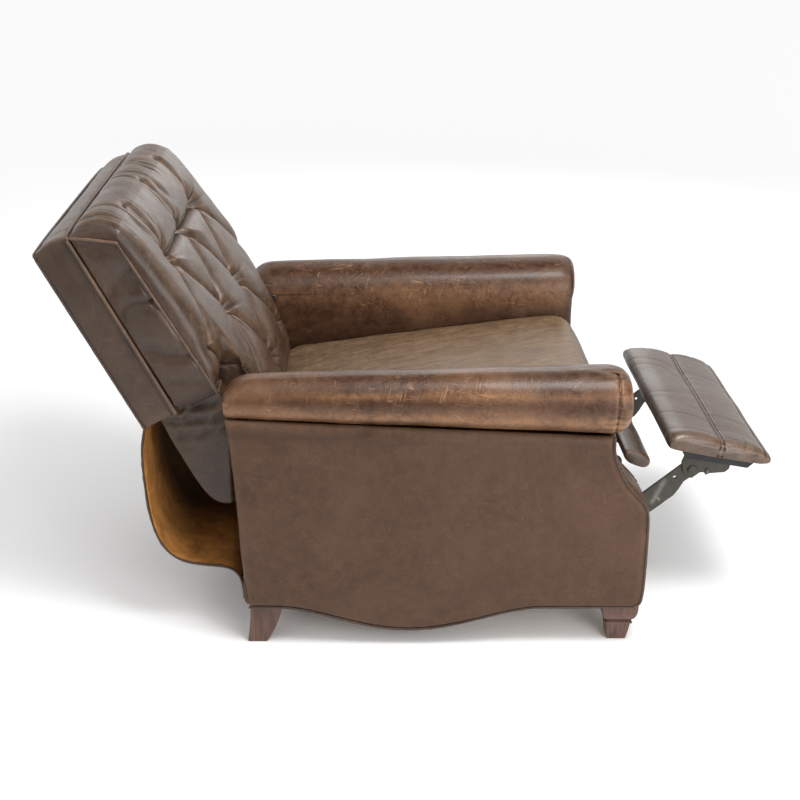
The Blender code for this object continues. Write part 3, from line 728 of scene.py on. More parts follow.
def scallop_edge(count=40):
    start, finish, low = SCALLOP
    share = np.linspace(0, 1, count)
    drop = (FOOT_TOP - low) * np.sin(pi * share) ** 1.6
    curve = np.stack([start + (finish - start) * share, FOOT_TOP - drop], 1)
    return np.concatenate([[[0.0, FOOT_TOP], [0.030, FOOT_TOP]], curve,
                           [[0.70, FOOT_TOP], ARM_FRONT_EDGE[0]]])


def side_panel(side, sign):
    """Outer arm cover: leather drawn over the board, a little full in the middle."""
    rows, columns = 130, 160
    top = np.linspace(ARM_REAR_EDGE[-1], ARM_FRONT_EDGE[-1], 30)
    top[:, 1] = side_top(top[:, 0])
    face = coons(scallop_edge(), top, ARM_REAR_EDGE, ARM_FRONT_EDGE, rows, columns)
    s = np.linspace(0, 1, columns)[None]
    t = np.linspace(0, 1, rows)[:, None]
    from_edge = np.minimum(np.minimum(s, 1 - s) * 0.80, np.minimum(t, 1 - t + 0.004) * 0.42)
    turn = np.clip(1 - from_edge / 0.012, 0, 1)
    puff = 0.0040 * (1 - np.abs(2 * s - 1) ** 2.5) * (1 - np.abs(2 * t - 1) ** 2.5)
    flat = chair(0.0, face)
    ripple = 0.0009 * noise(flat, (1, 8, 8), 21) + 0.0004 * noise(flat, (1, 26, 26), 22)
    sag = 0.0022 * folds(flat, (1, 5, 22), 24, 6.0) * smooth_step(0.86, 1.0, t)
    lip = 0.0026 * np.exp(-((1 - t - 0.035 - 0.008 * noise(flat, (1, 9, 1), 25)) / 0.022) ** 2)
    x = ARM_OUTER + puff + ripple + lip - sag - 0.010 * (1 - np.sqrt(np.clip(1 - turn ** 2, 0, 1)))

    def below_top(co):
        return side_top(MIDDLE - co[:, 1]) - co[:, 2] + 0.004 * noise(co, (1, 9, 1), 25)

    def wear(co):
        return np.clip(np.exp(-((below_top(co) - 0.013) / 0.009) ** 2) *
                       (0.8 + 0.4 * noise(co, (4, 8, 4), 26)), 0, 1)

    # Painted shade: a dark band under the roll's overhang, strongest towards the rear
    def tone(co):
        rearward = smooth_step(0.45, 0.10, MIDDLE - co[:, 1])
        return 0.55 * np.exp(-((below_top(co) - 0.034) / 0.012) ** 2) * rearward

    shell("side_cover_" + side, chair(sign * x, face), chair(sign * (ARM_OUTER - 0.0118), face), MAT["body"],
          ["side_panel_" + side], wear=wear, tone=tone)
    low = chair(sign * (ARM_OUTER - 0.0045), resample(scallop_edge(), 220) - [0.0, 0.0022])
    tube("hem_welt_" + side, low, 0.0032, MAT["welt"], "base", waver=0.08)
    edge = resample(ARM_FRONT_EDGE, 150)
    for label, across in (("outer", ARM_OUTER - 0.0035), ("inner", ARM_INNER + 0.0015)):
        tube("front_welt_%s_%s" % (label, side), chair(sign * across, edge + [0.0015, 0.0]), 0.0030,
             MAT["welt"], "base", waver=0.08)


def inner_arm_line(forward, sign):
    """(x, z) line of an arm's inner cover: out from under the roll's crown, round its shoulder and down."""
    lift, radius = roll_at(forward)
    radius *= 1 - 0.40 * float(roll_end(ROLL_FRONT - forward, 0.050, 2.4))
    radius *= 1 - 0.92 * float(roll_end(forward - ROLL_REAR, 0.056, 2.2))
    angle = np.radians(np.linspace(80, 100, 12))
    nominal = np.stack([sign * (ROLL_X + radius * np.cos(angle)), np.full(12, MIDDLE - forward),
                        lift + radius * np.sin(angle)], 1)
    over = radius + roll_relief(nominal) + np.linspace(-0.0024, 0.0010, 12)
    crown = np.stack([ROLL_X + over * np.cos(angle), lift + over * np.sin(angle)], 1)
    face, begin = ARM_INNER - 0.0035, crown[-1]
    reach = begin[0] - face
    knots = np.array([begin, begin + [-0.50 * reach, -0.09 * reach], [face - 0.001, begin[1] - 0.28 * reach],
                      [face, begin[1] - 0.95 * reach - 0.02]])
    u = np.linspace(0, 1, 40)[1:, None]
    curve = ((1 - u) ** 3 * knots[0] + 3 * u * (1 - u) ** 2 * knots[1] + 3 * u ** 2 * (1 - u) * knots[2] +
             u ** 3 * knots[3])
    drop = np.stack([np.full(30, face), np.linspace(curve[-1, 1] - 0.004, 0.150, 30)], 1)
    return np.concatenate([crown, curve, drop])


def arm_front(side, sign):
    """Narrow padded panel bent over the scooped front, nailed along both edges."""
    path = resample(ARM_FRONT_EDGE, 130)
    step = np.gradient(path, axis=0)
    step /= np.linalg.norm(step, axis=1, keepdims=True)
    out = np.stack([step[:, 1], -step[:, 0]], 1)
    s = np.linspace(0, 1, 26)
    x = ARM_INNER + 0.002 + (ARM_OUTER - ARM_INNER - 0.005) * s
    puff = 0.0060 * (1 - np.abs(2 * s - 1) ** 3)
    face = path[:, None] + out[:, None] * puff[None, :, None]
    outer = chair(sign * x[None], face)
    outer = outer + 0.0006 * noise(outer, 40, 31)[..., None] * np.array([0, -1, 0.4])
    inner = chair(sign * x[None], path[:, None] - out[:, None] * 0.010 + 0 * face)
    shell("arm_front_cover_" + side, outer, inner, MAT["body"], ["arm_front_panel_" + side])
    nail_rows(side, sign, path, out)
    line = chair(sign * (ARM_OUTER - 0.024), path[8:-4] + out[8:-4] * 0.0056)
    stitches("arm_front_stitches_" + side, line, 0.0058, 0.0040, 0.0008, MAT["thread"], "base")


def nail_rows(side, sign, path, out):
    """Domed nails along both edges of an arm front, as one group."""
    run = np.concatenate([[0], np.cumsum(np.linalg.norm(np.diff(path, axis=0), axis=1))])
    verts, faces = [], []
    spacing, radius, rings, sides = 0.0118, 0.0050, 4, 12
    for across in (ARM_OUTER - 0.0125, ARM_INNER + 0.0125):
        for place in np.arange(0.012, run[-1] - 0.012, spacing):
            centre = np.array([np.interp(place, run, path[:, k]) for k in (0, 1)])
            way = np.array([np.interp(place, run, out[:, k]) for k in (0, 1)])
            way /= np.linalg.norm(way)
            heart = chair(sign * across, centre + way * 0.0028)
            normal = np.array([0.0, -way[0], way[1]])
            side_way = np.array([1.0, 0.0, 0.0])
            up = np.cross(normal, side_way)
            base = len(verts)
            for k in range(rings):
                tip = pi / 2 * k / rings
                for j in range(sides):
                    turn = 2 * pi * j / sides
                    verts.append(heart + radius * cos(tip) * (cos(turn) * side_way + sin(turn) * up) +
                                 normal * radius * 0.62 * sin(tip))
            verts.append(heart + normal * radius * 0.62)
            top = base + (rings - 1) * sides
            faces += grid_faces(rings, sides, wrap=True, start=base)
            faces += [[top + j, top + (j + 1) % sides, base + rings * sides] for j in range(sides)]
            faces += [list(range(base, base + sides))]
    add_piece("nails_" + side, verts, faces, MAT["nail"], "base", ["nailhead_strip_" + side],
              rounds=0)


def inner_arm(side, sign):
    """Inside of an arm: leather that leaves the roll in one full curve and runs down past the seat."""
    rows, columns = 170, 120
    t = np.linspace(0, 1, columns)
    s = np.linspace(0, 1, rows)
    points = np.zeros((rows, columns, 3))
    start, shoulder_end = ROLL_REAR + 0.006, ROLL_FRONT - 0.010
    edge = np.array(ARM_FRONT_EDGE)[::-1]
    for i in range(rows):
        forward = start + (shoulder_end - start) * s[i]
        line = resample(inner_arm_line(forward, sign), columns, rounds=1)
        front = np.interp(-line[:, 1], -edge[:, 1],
                          edge[:, 0]) + 0.016 * smooth_step(0.36, 0.47, line[:, 1]) + 0.003
        ahead = start + (np.minimum(front, 0.795) - start) * s[i]
        lean = smooth_step(0.15, 0.30, t)
        reached = forward * (1 - lean) + ahead * lean
        points[i] = np.stack([sign * line[:, 0], MIDDLE - reached, line[:, 1]], 1)
    across = s[:, None]
    rear = smooth_step(0.075, 0.12, MIDDLE - points[..., 1])
    plump = 0.005 * np.sin(pi * np.clip(t * 1.4 - 0.35, 0,
                                        1))[None] * (1 - np.abs(2 * across - 1) ** 4) * rear
    creases = 0.0020 * folds(points, (10, 6, 28), 41, 6.0) * smooth_step(0.35, 0.55, t)[None] * rear
    bend = 0.012 * np.clip(1 - (1 - across) / 0.025, 0, 1) ** 2 * smooth_step(0.18, 0.30, t)[None]
    loose = smooth_step(0.16, 0.30, t)[None]
    points[..., 0] -= sign * (plump + 0.0014 * noise(points, 11, 42) * rear * loose - creases - bend)
    inner = points.copy()
    inner[..., 0] = sign * (np.abs(points[..., 0]) + 0.003)

    def wear(co):
        band = np.exp(-((co[:, 2] - 0.545) / 0.030) ** 2)
        return np.clip(band * (0.60 + 0.45 * noise(co, (6, 5, 9), 43)), 0, 1)

    # Painted shade: darker down towards the seat, and a darker mottled band over the top of the roll
    def tone(co):
        forward = MIDDLE - co[:, 1]
        deep = smooth_step(0.530, 0.430, co[:, 2] - 0.10 * (forward - 0.45))
        top = 0.35 * smooth_step(0.600, 0.612, co[:, 2])
        return np.clip(0.85 * deep + top * (0.6 + 0.8 * noise(co, (16, 9, 16), 44)), 0, 1)

    shell("inner_arm_cover_" + side, points, inner, MAT["roll"], [], wear=wear, tone=tone)


def arm_rear(side, sign):
    """Leather drawn over the rear end of an arm, between its outer cover and its inner one."""
    line = [(-0.0055, 0.158), (-0.0085, 0.175), (-0.011, 0.300), (-0.019, 0.436), (-0.026, 0.506)]
    path = resample(line, 70)
    x = np.linspace(ARM_INNER + 0.001, ARM_OUTER - 0.013, 24)[None]
    full = 0.0030 * (1 - np.abs(np.linspace(-1, 1, 24)) ** 3)[None]
    outer = chair(sign * x, path[:, None] - full[..., None] * [1.0, 0.0])
    outer[..., 1] += 0.0008 * noise(outer, (14, 1, 14), 45)
    inner = outer - [0.0, 0.0035, 0.0]
    shell("arm_rear_cover_" + side, outer, inner, MAT["body"])


# ---- Seat, footrest, filler ----------------------------------------------------------------------
def seat():
    """Seat cushion: long crown with a soft front roll and darker boxing."""
    centre = resample([(0.085, 0.330), (0.300, 0.338), (0.600, 0.364), (0.750, 0.379), (0.768, 0.388),
                       (0.772, 0.402), (0.764, 0.428), (0.748, 0.464), (0.732, 0.490), (0.712, 0.502),
                       (0.670, 0.506), (0.480, 0.484), (0.280, 0.458), (0.100, 0.430), (0.050, 0.415),
                       (0.045, 0.385), (0.070, 0.345)], 260, closed=True, rounds=3)
    edge = resample([(0.100, 0.336), (0.300, 0.346), (0.600, 0.370), (0.740, 0.382), (0.756, 0.388),
                     (0.758, 0.400), (0.750, 0.424), (0.736, 0.456), (0.722, 0.480), (0.706, 0.490),
                     (0.668, 0.490), (0.480, 0.462), (0.280, 0.434), (0.100, 0.404), (0.062, 0.396),
                     (0.060, 0.380), (0.080, 0.350)], 260, closed=True, rounds=3)

    def shape(points, x):
        side = smooth_step(0.55, 1.0, np.abs(x) / SEAT_HALF)
        rear = smooth_step(0.10, 0.26, points[..., 1] - (MIDDLE - 0.38))
        long_ways = np.stack([points[..., 0] + 0.10 * points[..., 1], points[..., 1], points[..., 2]], -1)
        ripples = folds(long_ways, (30, 5, 9), 51,
                        4.0) * (0.45 + side) + folds(points, (8, 26, 9), 52, 6.0) * rear
        return 0.0035 * noise(points, 7, 53) + 0.0014 * noise(points, 22, 54) - 0.0017 * ripples

    def tone(co):
        down_front = 0.466 * (MIDDLE - co[:, 1] - 0.712) - 0.885 * (co[:, 2] - 0.496)
        sides = smooth_step(SEAT_HALF - 0.010, SEAT_HALF - 0.003, np.abs(co[:, 0]))
        return np.clip(smooth_step(0.006, 0.016, down_front) + sides, 0, 1) * 0.9

    pad, _ = cushion("seat_cover", centre, edge, SEAT_HALF - 0.001, 0.060, MAT["seat"], "seat",
                     ["seat_cushion"], shape=shape, cap_bulge=0.003, tone=tone, stations=190)


SEAM_AT, SEAM_STEPS, FRONT_SEAM = 0.112, (-0.0042, 0.0042), 0.2085


def pad_coordinates(points):
    """(along, rise) of chair points in the footrest's own plane."""
    forward, up = MIDDLE - points[..., 1] - PAD_REAR[0], points[..., 2] - PAD_REAR[1]
    return forward * cos(PAD_TILT) + up * sin(PAD_TILT), -forward * sin(PAD_TILT) + up * cos(PAD_TILT)


def footrest():
    """Thin pad in two lobes with a double-stitched seam across, and rolled ends."""
    centre = resample(on_pad(*zip(*[(0.006, -0.017), (-0.002, -0.008), (-0.002, 0.008), (0.010, 0.019),
                                    (0.040, 0.0255), (0.075, 0.0260), (0.112, 0.0225), (0.150, 0.0225),
                                    (0.185, 0.0170), (0.212, 0.008), (0.226, -0.004), (0.218, -0.013),
                                    (0.195, -0.017), (0.100, -0.017)])), 440, True, 3)
    edge = resample(on_pad(*zip(*[(0.010, -0.015), (0.003, -0.009), (0.003, 0.000), (0.012, 0.006),
                                  (0.040, 0.0095), (0.075, 0.0100), (0.112, 0.0080), (0.150, 0.0070),
                                  (0.185, 0.0040), (0.212, -0.001), (0.221, -0.006), (0.214, -0.012),
                                  (0.195, -0.015), (0.100, -0.016)])), 440, True, 3)

    def shape(points, x):
        along, rise = pad_coordinates(points)
        top = smooth_step(-0.004, 0.006, rise)
        seam = 0.0048 * np.exp(-np.abs(along - SEAM_AT) / 0.010)
        stitched = sum(0.0016 * np.exp(-((along - SEAM_AT - step) / 0.0013) ** 2) for step in SEAM_STEPS)
        front = 0.0030 * np.exp(-np.abs(along - FRONT_SEAM) / 0.0030)
        pulls = folds(points, (44, 9, 9), 61, 4.0) * np.exp(-np.abs(along - SEAM_AT) / 0.02)
        ends = smooth_step(0.75, 1.0, np.abs(x) / PAD_HALF)
        wrinkles = folds(np.stack([points[..., 0] + 0.2 * along, along, rise], -1), (26, 7, 7), 64, 5.0)
        return (0.0018 * noise(points, 11, 62) - (seam + stitched + front) * top - 0.0012 * pulls -
                0.0016 * folds(points, (12, 30, 9), 63, 6.0) * ends - 0.0010 * wrinkles * top)

    def ends(points, t):
        along, _ = pad_coordinates(points)
        pinch = sum(np.exp(-((along - place) / 0.003) ** 2)
                    for place in (SEAM_AT - 0.004, SEAM_AT + 0.004, 0.185))
        return (-0.0022 * pinch + 0.0015 * noise(points, 30, 65)) * sin(pi * min(1, 0.25 + t))

    def wear(co):
        corner = smooth_step(PAD_HALF - 0.020, PAD_HALF, np.abs(co[:, 0])) * (0.12 + 0.3 * noise(co, 22, 66))
        return np.clip(corner, 0, 1)

    def tone(co):
        along, _ = pad_coordinates(co)
        return np.clip(0.8 * smooth_step(0.016, 0.004, along), 0, 1)

    pad, grid = cushion("footrest_cover", centre, edge, PAD_HALF, 0.026, MAT["rest"], "footrest",
                        ["footrest_pad"], shape=shape, cap_bulge=0.003, cap_shape=ends, wear=wear, tone=tone,
                        stations=170)
    along, rise = pad_coordinates(grid)
    for index, place in enumerate([SEAM_AT + step for step in SEAM_STEPS] + [FRONT_SEAM]):
        line = trace(grid, along, place, rise > -0.003)
        tube("footrest_seam_%d" % (index + 1), line, 0.0011, MAT["thread_dark"], "footrest", sides=6)
    for index, step in enumerate((-0.0085, 0.0085)):
        line = trace(grid, along, SEAM_AT + step, rise > -0.003)
        stitches("footrest_stitches_%d" % (index + 1), line[4:-4], 0.0055, 0.0036, 0.0006, MAT["thread"],
                 "footrest")


def filler():
    """Small roll of leather that closes the gap in front of the seat."""
    centre = resample([(0.790, 0.352), (0.783, 0.374), (0.792, 0.3815), (0.815, 0.3760), (0.836, 0.3660),
                       (0.8445, 0.3550), (0.8420, 0.3440), (0.8310, 0.3375), (0.8150, 0.3420)], 140, True, 3)
    edge = resample([(0.793, 0.354), (0.787, 0.372), (0.794, 0.3780), (0.815, 0.3720), (0.832, 0.3630),
                     (0.8400, 0.3540), (0.8380, 0.3450), (0.8290, 0.3400), (0.8150, 0.3445)], 140, True, 3)

    def shape(points, x):
        return 0.0010 * noise(points, 16, 71) - 0.0010 * folds(points, (30, 8, 8), 72, 5.0)

    pad, _ = cushion("filler_cover", centre, edge, 0.240, 0.014, MAT["rest"], "filler",
                     ["filler_pad"],
                     stations=110, shape=shape, cap_bulge=0.002, tone=lambda co: np.full(len(co), 0.60))


# ---- Back -------------------------------------------------------------------------------------------
TUFT_ROWS = ((0.305, (-0.20, 0.0, 0.20)), (0.130, (-0.10, 0.10)), (-0.045, (-0.20, 0.0, 0.20)))


def tuft_segments():
    """Pleats between buttons: (start, end, depth at the ends, depth in the middle, width)."""
    (high, top), (mid, inner), (low, bottom) = TUFT_ROWS
    segments = []
    for a, b in zip(top, top[1:]):
        segments.append(((a, high), (b, high), 1.0, 0.62, 0.026))
    for x in top:
        segments.append(((x, high), (x * 1.02, high + 0.12), 0.85, 0.30, 0.016))
        for x2 in inner:
            if abs(x - x2) < 0.15:
                segments.append(((x, high), (x2, mid), 1.0, 0.42, 0.026))
    for x in inner:
        for x2 in bottom:
            if abs(x - x2) < 0.15:
                segments.append(((x, mid), (x2, low), 1.0, 0.42, 0.026))
    for x in (top[0], top[-1]):
        edge_x = 1.55 * x
        segments.append(((x, high), (edge_x, mid), 0.9, 0.25, 0.024))
        segments.append(((x, low), (edge_x, mid), 0.9, 0.25, 0.024))
    return segments


def tuft_depth(x, along):
    """How far the cover is pulled in, from 0 on the pillows to 1 at a button."""
    pull = np.zeros(np.broadcast(x, along).shape)
    for (ax, ay), (bx, by), ends, middle, width in tuft_segments():
        dx, dy = bx - ax, by - ay
        t = np.clip(((x - ax) * dx + (along - ay) * dy) / (dx * dx + dy * dy), 0, 1)
        gap = np.hypot(x - ax - t * dx, along - ay - t * dy)
        depth = ends + (middle - ends) * np.sin(pi * t) ** 0.7
        round_side = 1 - np.sqrt(1 - (1 - np.clip(gap / (2.3 * width), 0, 1)) ** 2)
        pull = np.maximum(pull, depth * (0.75 * round_side + 0.25 * np.exp(-gap / (0.22 * width))))
    for along_at, places in TUFT_ROWS:
        for place in places:
            gap = np.hypot(x - place, along - along_at)
            pull = np.maximum(pull, 1.15 * np.exp(-(gap / 0.020) ** 1.1))
    return pull


def button_rays(x, along):
    """Short pleats that run out from each button, from 0 to 1."""
    total = np.zeros(np.broadcast(x, along).shape)
    for along_at, places in TUFT_ROWS:
        for k, place in enumerate(places):
            gap = np.hypot(x - place, along - along_at)
            turn = np.arctan2(along - along_at, x - place)
            wave = np.sin(9 * turn + 2.1 * k + 40 * along_at) + 0.6 * np.sin(14 * turn + 1.3 * k)
            total += np.clip(wave, 0, 2) * np.exp(-gap / 0.034) * smooth_step(0.004, 0.016, gap)
    return total


def back_coordinates(points):
    forward, up = MIDDLE - points[..., 1] - HINGE[0], points[..., 2] - HINGE[1]
    return forward * cos(RECLINE) + up * sin(RECLINE), -forward * sin(RECLINE) + up * cos(RECLINE)


def back_section(*runs):
    """Ring of (forward, up) points from runs of ((out, along) points, count, rounds), with crisp joints."""
    return np.concatenate([on_back(*resample(points, count + 1, rounds=rounds)[:-1].T)
                           for points, count, rounds in runs])


SEAM_OUT = -0.1455


def back_cushion():
    """Tufted cushion: a fat top roll above the first buttons, diamonds below, boxed sides."""
    seam, top = SEAM_OUT + 0.0030, 0.4445
    crown = [(seam, top), (-0.134, 0.456), (-0.112, 0.4635), (-0.088, 0.460), (-0.068, 0.445),
             (-0.054, 0.421)]
    front = [(-0.054, 0.421), (-0.043, 0.390), (-0.036, 0.350), (-0.031, 0.300), (-0.022, 0.230),
             (-0.010, 0.150), (-0.002, 0.085)]
    tall = back_section(([(seam, -0.10), (seam, 0.10), (seam, top)], 30, 0), (crown, 70, 3), (front, 150, 3),
                        ([(-0.002, 0.085), (0.004, 0.030), (0.002, -0.045), (-0.010, -0.098)], 60, 2),
                        ([(-0.010, -0.098), (-0.036, -0.146), (seam + 0.015, -0.146), (seam, -0.10)], 40, 2))
    short = back_section(([(seam, 0.060), (seam, 0.20), (seam, top)], 30, 0), (crown, 70, 3),
                         (front[:-1] + [(-0.030, 0.080)], 150, 3),
                         ([(-0.030, 0.080), (-0.040, 0.062)], 60, 1),
                         ([(-0.040, 0.062), (-0.056, 0.052), (-0.100, 0.049), (seam, 0.060)], 40, 1))
    corner, foot = (-0.069, 0.399), (-0.053, 0.047)
    side = back_section(([(seam, 0.055), (seam, 0.20), (seam, top)], 30, 0),
                        ([(seam, top), (-0.118, 0.432), (-0.092, 0.414), corner], 70, 1),
                        ([corner, (-0.063, 0.280), (-0.058, 0.170), (-0.0545, 0.085)], 150, 1),
                        ([(-0.0545, 0.085), foot], 60, 0), ([foot, (-0.090, 0.046), (seam, 0.055)], 40, 0))

    def centre(x):
        wide = smooth_step(WAIST_HALF - 0.006, WAIST_HALF + 0.010, np.abs(x))[:, None, None]
        return tall[None] * (1 - wide) + short[None] * wide

    def shape(points, x):
        out, along = back_coordinates(points)
        face = smooth_step(-0.105, -0.055, out) * smooth_step(0.475, 0.41, along)
        pull = tuft_depth(x, along) * face
        ways = np.stack([x + 0.06 * along + 0.04 * out, 0.25 * along, 0.25 * out], -1)
        over_top = smooth_step(0.325, 0.40, along)
        gathers = folds(ways, (36, 30, 30), 81, 3.5) + 0.18 * folds(ways, (90, 50, 50), 82, 4.0)
        gathers *= over_top * (0.12 + 0.88 * smooth_step(-0.15, 0.40, noise(points, (9, 5, 5), 83)))
        creases = folds(points, (20, 20, 20), 84, 5.0) * smooth_step(0.10, 0.5, pull)
        waist = np.clip((np.abs(x) - WAIST_HALF + 0.055) / 0.055, 0, 1)
        recess = 0.020 * (1 - np.sqrt(1 - waist ** 2)) * smooth_step(0.10, 0.02, along)
        swell = 0.006 * (1 - np.clip(pull, 0, 1)) * face
        return (swell - recess - 0.036 * pull - 0.0062 * gathers - 0.0030 * creases -
                0.0045 * button_rays(x, along) * face + 0.0030 * noise(points, 9, 85) +
                0.0012 * noise(points, 30, 86))

    def side_dents(points, t):
        out, along = back_coordinates(points)
        slant = np.stack([0 * along, along + 0.45 * out, out - 0.45 * along], -1)
        dent = folds(slant, (1, 24, 6), 88, 2.5) * (0.45 + 0.55 * smooth_step(0.05, 0.30, along))
        return (-0.0125 * dent + 0.0030 * noise(points, 16, 89)) * sin(pi * min(1, t * 1.4) / 1.4)

    def wear(co):
        side_face = smooth_step(BACK_HALF - 0.012, BACK_HALF - 0.006, np.abs(co[:, 0]))
        return np.clip(side_face * (0.05 + 0.55 * noise(co, 14, 90)), 0, 1)

    def tone(co):
        side_face = smooth_step(BACK_HALF - 0.030, BACK_HALF - 0.006, np.abs(co[:, 0]))
        return np.clip(side_face * (0.62 + 0.25 * noise(co, 11, 97)), 0, 1)

    pad, _ = cushion("back_cushion_cover", centre, side, BACK_HALF - 0.004, 0.052, MAT["back"], "back",
                     ["back_cushion"], stations=400, shape=shape, cap_bulge=0.006, cap_rings=24,
                     cap_shape=side_dents, wear=wear, tone=tone)
    for name, sign in SIDES:
        rim = resample([(seam, top), (-0.118, 0.432), (-0.092, 0.414), corner], 30, rounds=1)
        rim = np.concatenate([rim, resample([corner, (-0.063, 0.280), (-0.058, 0.170), foot], 90, rounds=1)])
        line = chair(sign * (BACK_HALF - 0.0025), on_back(*rim.T))
        under = chair(sign * np.linspace(BACK_HALF - 0.006, WAIST_HALF + 0.018, 24),
                      on_back(foot[0], foot[1]))
        tube("cushion_piping_" + name, np.concatenate([line, under]), 0.0029, MAT["welt_worn"], "back",
             waver=0.20)


def outer_back():
    """Leather box of the back: rear, sides and crowned top, with a double welt at its front edge."""
    rear, seam, low, high = -0.222, SEAM_OUT, 0.046, 0.450
    roof = [(seam, high - 0.002), (-0.185, high), (rear, high - 0.006)]
    walls = [([(seam, low), (seam, high - 0.002)], 40, 0), (roof, 50, 1),
             ([(rear, high - 0.006), (rear, 0.25), (rear, low)], 80, 0), ([(rear, low), (seam, low)], 30, 0)]
    bulge = [([(seam, low), (seam, high)], 40, 0),
             ([(seam, high), (-0.160, high + 0.006), (-0.190, high + 0.008), (rear, high - 0.002)], 50, 3),
             ([(rear, high - 0.002), (rear - 0.006, 0.25), (rear, low)], 80, 2),
             ([(rear, low), (seam, low)], 30, 0)]
    edge, centre = back_section(*walls), back_section(*bulge)

    def shape(points, x):
        _, along = back_coordinates(points)
        pulls = folds(points, (34, 14, 14), 92, 3.0) * smooth_step(0.40, 0.44, along)
        return 0.0012 * noise(points, 9, 91) - 0.0022 * pulls * (0.4 +
                                                                 0.6 *
                                                                 smooth_step(0.6, 1.0, np.abs(x) / BACK_HALF))

    def dents(points, t):
        return (0.0014 * noise(points, 12, 93) - 0.0020 * folds(points, (4, 20, 12), 94, 5.0)) * min(1, t * 3)

    def wear(co):
        side_face = smooth_step(BACK_HALF - 0.010, BACK_HALF - 0.004, np.abs(co[:, 0]))
        return np.clip(side_face * (0.02 + 0.45 * noise(co, 14, 95)), 0, 1)

    def tone(co):
        side_face = smooth_step(BACK_HALF - 0.012, BACK_HALF - 0.004, np.abs(co[:, 0]))
        return np.clip(side_face * (0.58 + 0.20 * noise(co, 9, 98)), 0, 1)

    box, _ = cushion("outer_back_cover", centre, edge, BACK_HALF - 0.003, 0.016, MAT["back"], "back",
                     ["outer_back_shell"], stations=150, shape=shape, cap_bulge=0.0035, cap_rings=18,
                     cap_shape=dents, wear=wear, tone=tone)
    half = BACK_HALF - 0.0020
    up = np.linspace(low, high - 0.003, 70)
    top = np.linspace(-half + 0.006, half - 0.006, 120)
    crown = high - 0.0005 + 0.0040 * np.sqrt(np.clip(1 - (top / half) ** 4, 0, 1))
    across = np.concatenate([np.full(70, -half), top, np.full(70, half)])
    along = np.concatenate([up, crown, up[::-1]])
    for label, out, radius, material in (("front", seam - 0.0030, 0.0034, "welt_worn"),
                                         ("second", seam - 0.0120, 0.0013, "welt"),
                                         ("rear", rear + 0.001, 0.0026, "welt")):
        drop = 0.0 if label != "rear" else 0.003
        line = chair(across, on_back(np.full_like(across, out), along - drop))
        tube("back_welt_" + label, line, radius, MAT[material], "back", waver=0.06)


def lower_back():
    """Crumpled leather of the narrow part between the arms, wrapped round the hinge plates behind them."""
    ring = back_section(([(-0.130, 0.050), (-0.208, 0.044)], 30, 0),
                        ([(-0.208, 0.044), (-0.213, -0.060), (-0.213, -0.150),
                        (-0.204, -0.190), (-0.180, -0.212), (-0.140, -0.214)], 70, 2),
                        ([(-0.140, -0.214), (-0.068, -0.205), (-0.058, -0.190)], 30, 1),
                        ([(-0.058, -0.190), (-0.056, -0.060), (-0.056, 0.040), (-0.066, 0.050),
                          (-0.130, 0.050)], 70, 1))

    def shape(points, x):
        return 0.002 * noise(points, 12, 101) - 0.002 * folds(points, (20, 12, 12), 102, 5.0)

    def crumple(points, t):
        out, along = back_coordinates(points)
        near_top = smooth_step(-0.090, 0.020, along)
        ways = np.stack([0 * along, out + 0.35 * along, along - 0.30 * out], -1)
        ridges = folds(ways, (1, 8, 30), 103, 1.6) + 0.6 * folds(ways, (1, 14, 52), 106, 2.0)
        slack = np.sin((along + 0.30 * out) * 2 * pi / 0.034 + 3.0 * noise(ways, (1, 9, 9), 107))
        return (near_top * (0.0120 * (ridges - 0.8) + 0.0026 * slack) -
                0.0030 * folds(ways, (1, 5, 14), 104, 4.0) + 0.0020 * noise(points, 14, 105)) * min(1, t * 5)

    def widen(verts):
        forward = MIDDLE - verts[:, 1]
        wide = smooth_step(-0.022, -0.040, forward) * smooth_step(WAIST_HALF - 0.040, WAIST_HALF - 0.010,
                                                                  np.abs(verts[:, 0]))
        verts[:, 0] += np.sign(verts[:, 0]) * 0.0165 * wide
        return verts

    box, _ = cushion("lower_back_cover", ring, ring, WAIST_HALF - 0.006, 0.012, MAT["back"], "back",
                     ["lower_back_cushion"], stations=90, shape=shape, cap_bulge=0.003, cap_rings=30,
                     cap_shape=crumple, warp=widen, tone=lambda co: np.full(len(co), 0.45))


FLAP_ROUTE = [(-0.1995, 0.4780), (-0.2085, 0.440), (-0.2115, 0.410), (-0.212, 0.370), (-0.210, 0.320),
              (-0.206, 0.275), (-0.198, 0.235),
              (-0.186, 0.202), (-0.168, 0.176), (-0.144, 0.160), (-0.112, 0.153), (-0.078, 0.150),
              (-0.048, 0.146),
              (-0.030, 0.134), (-0.019, 0.112), (-0.016, 0.066)]


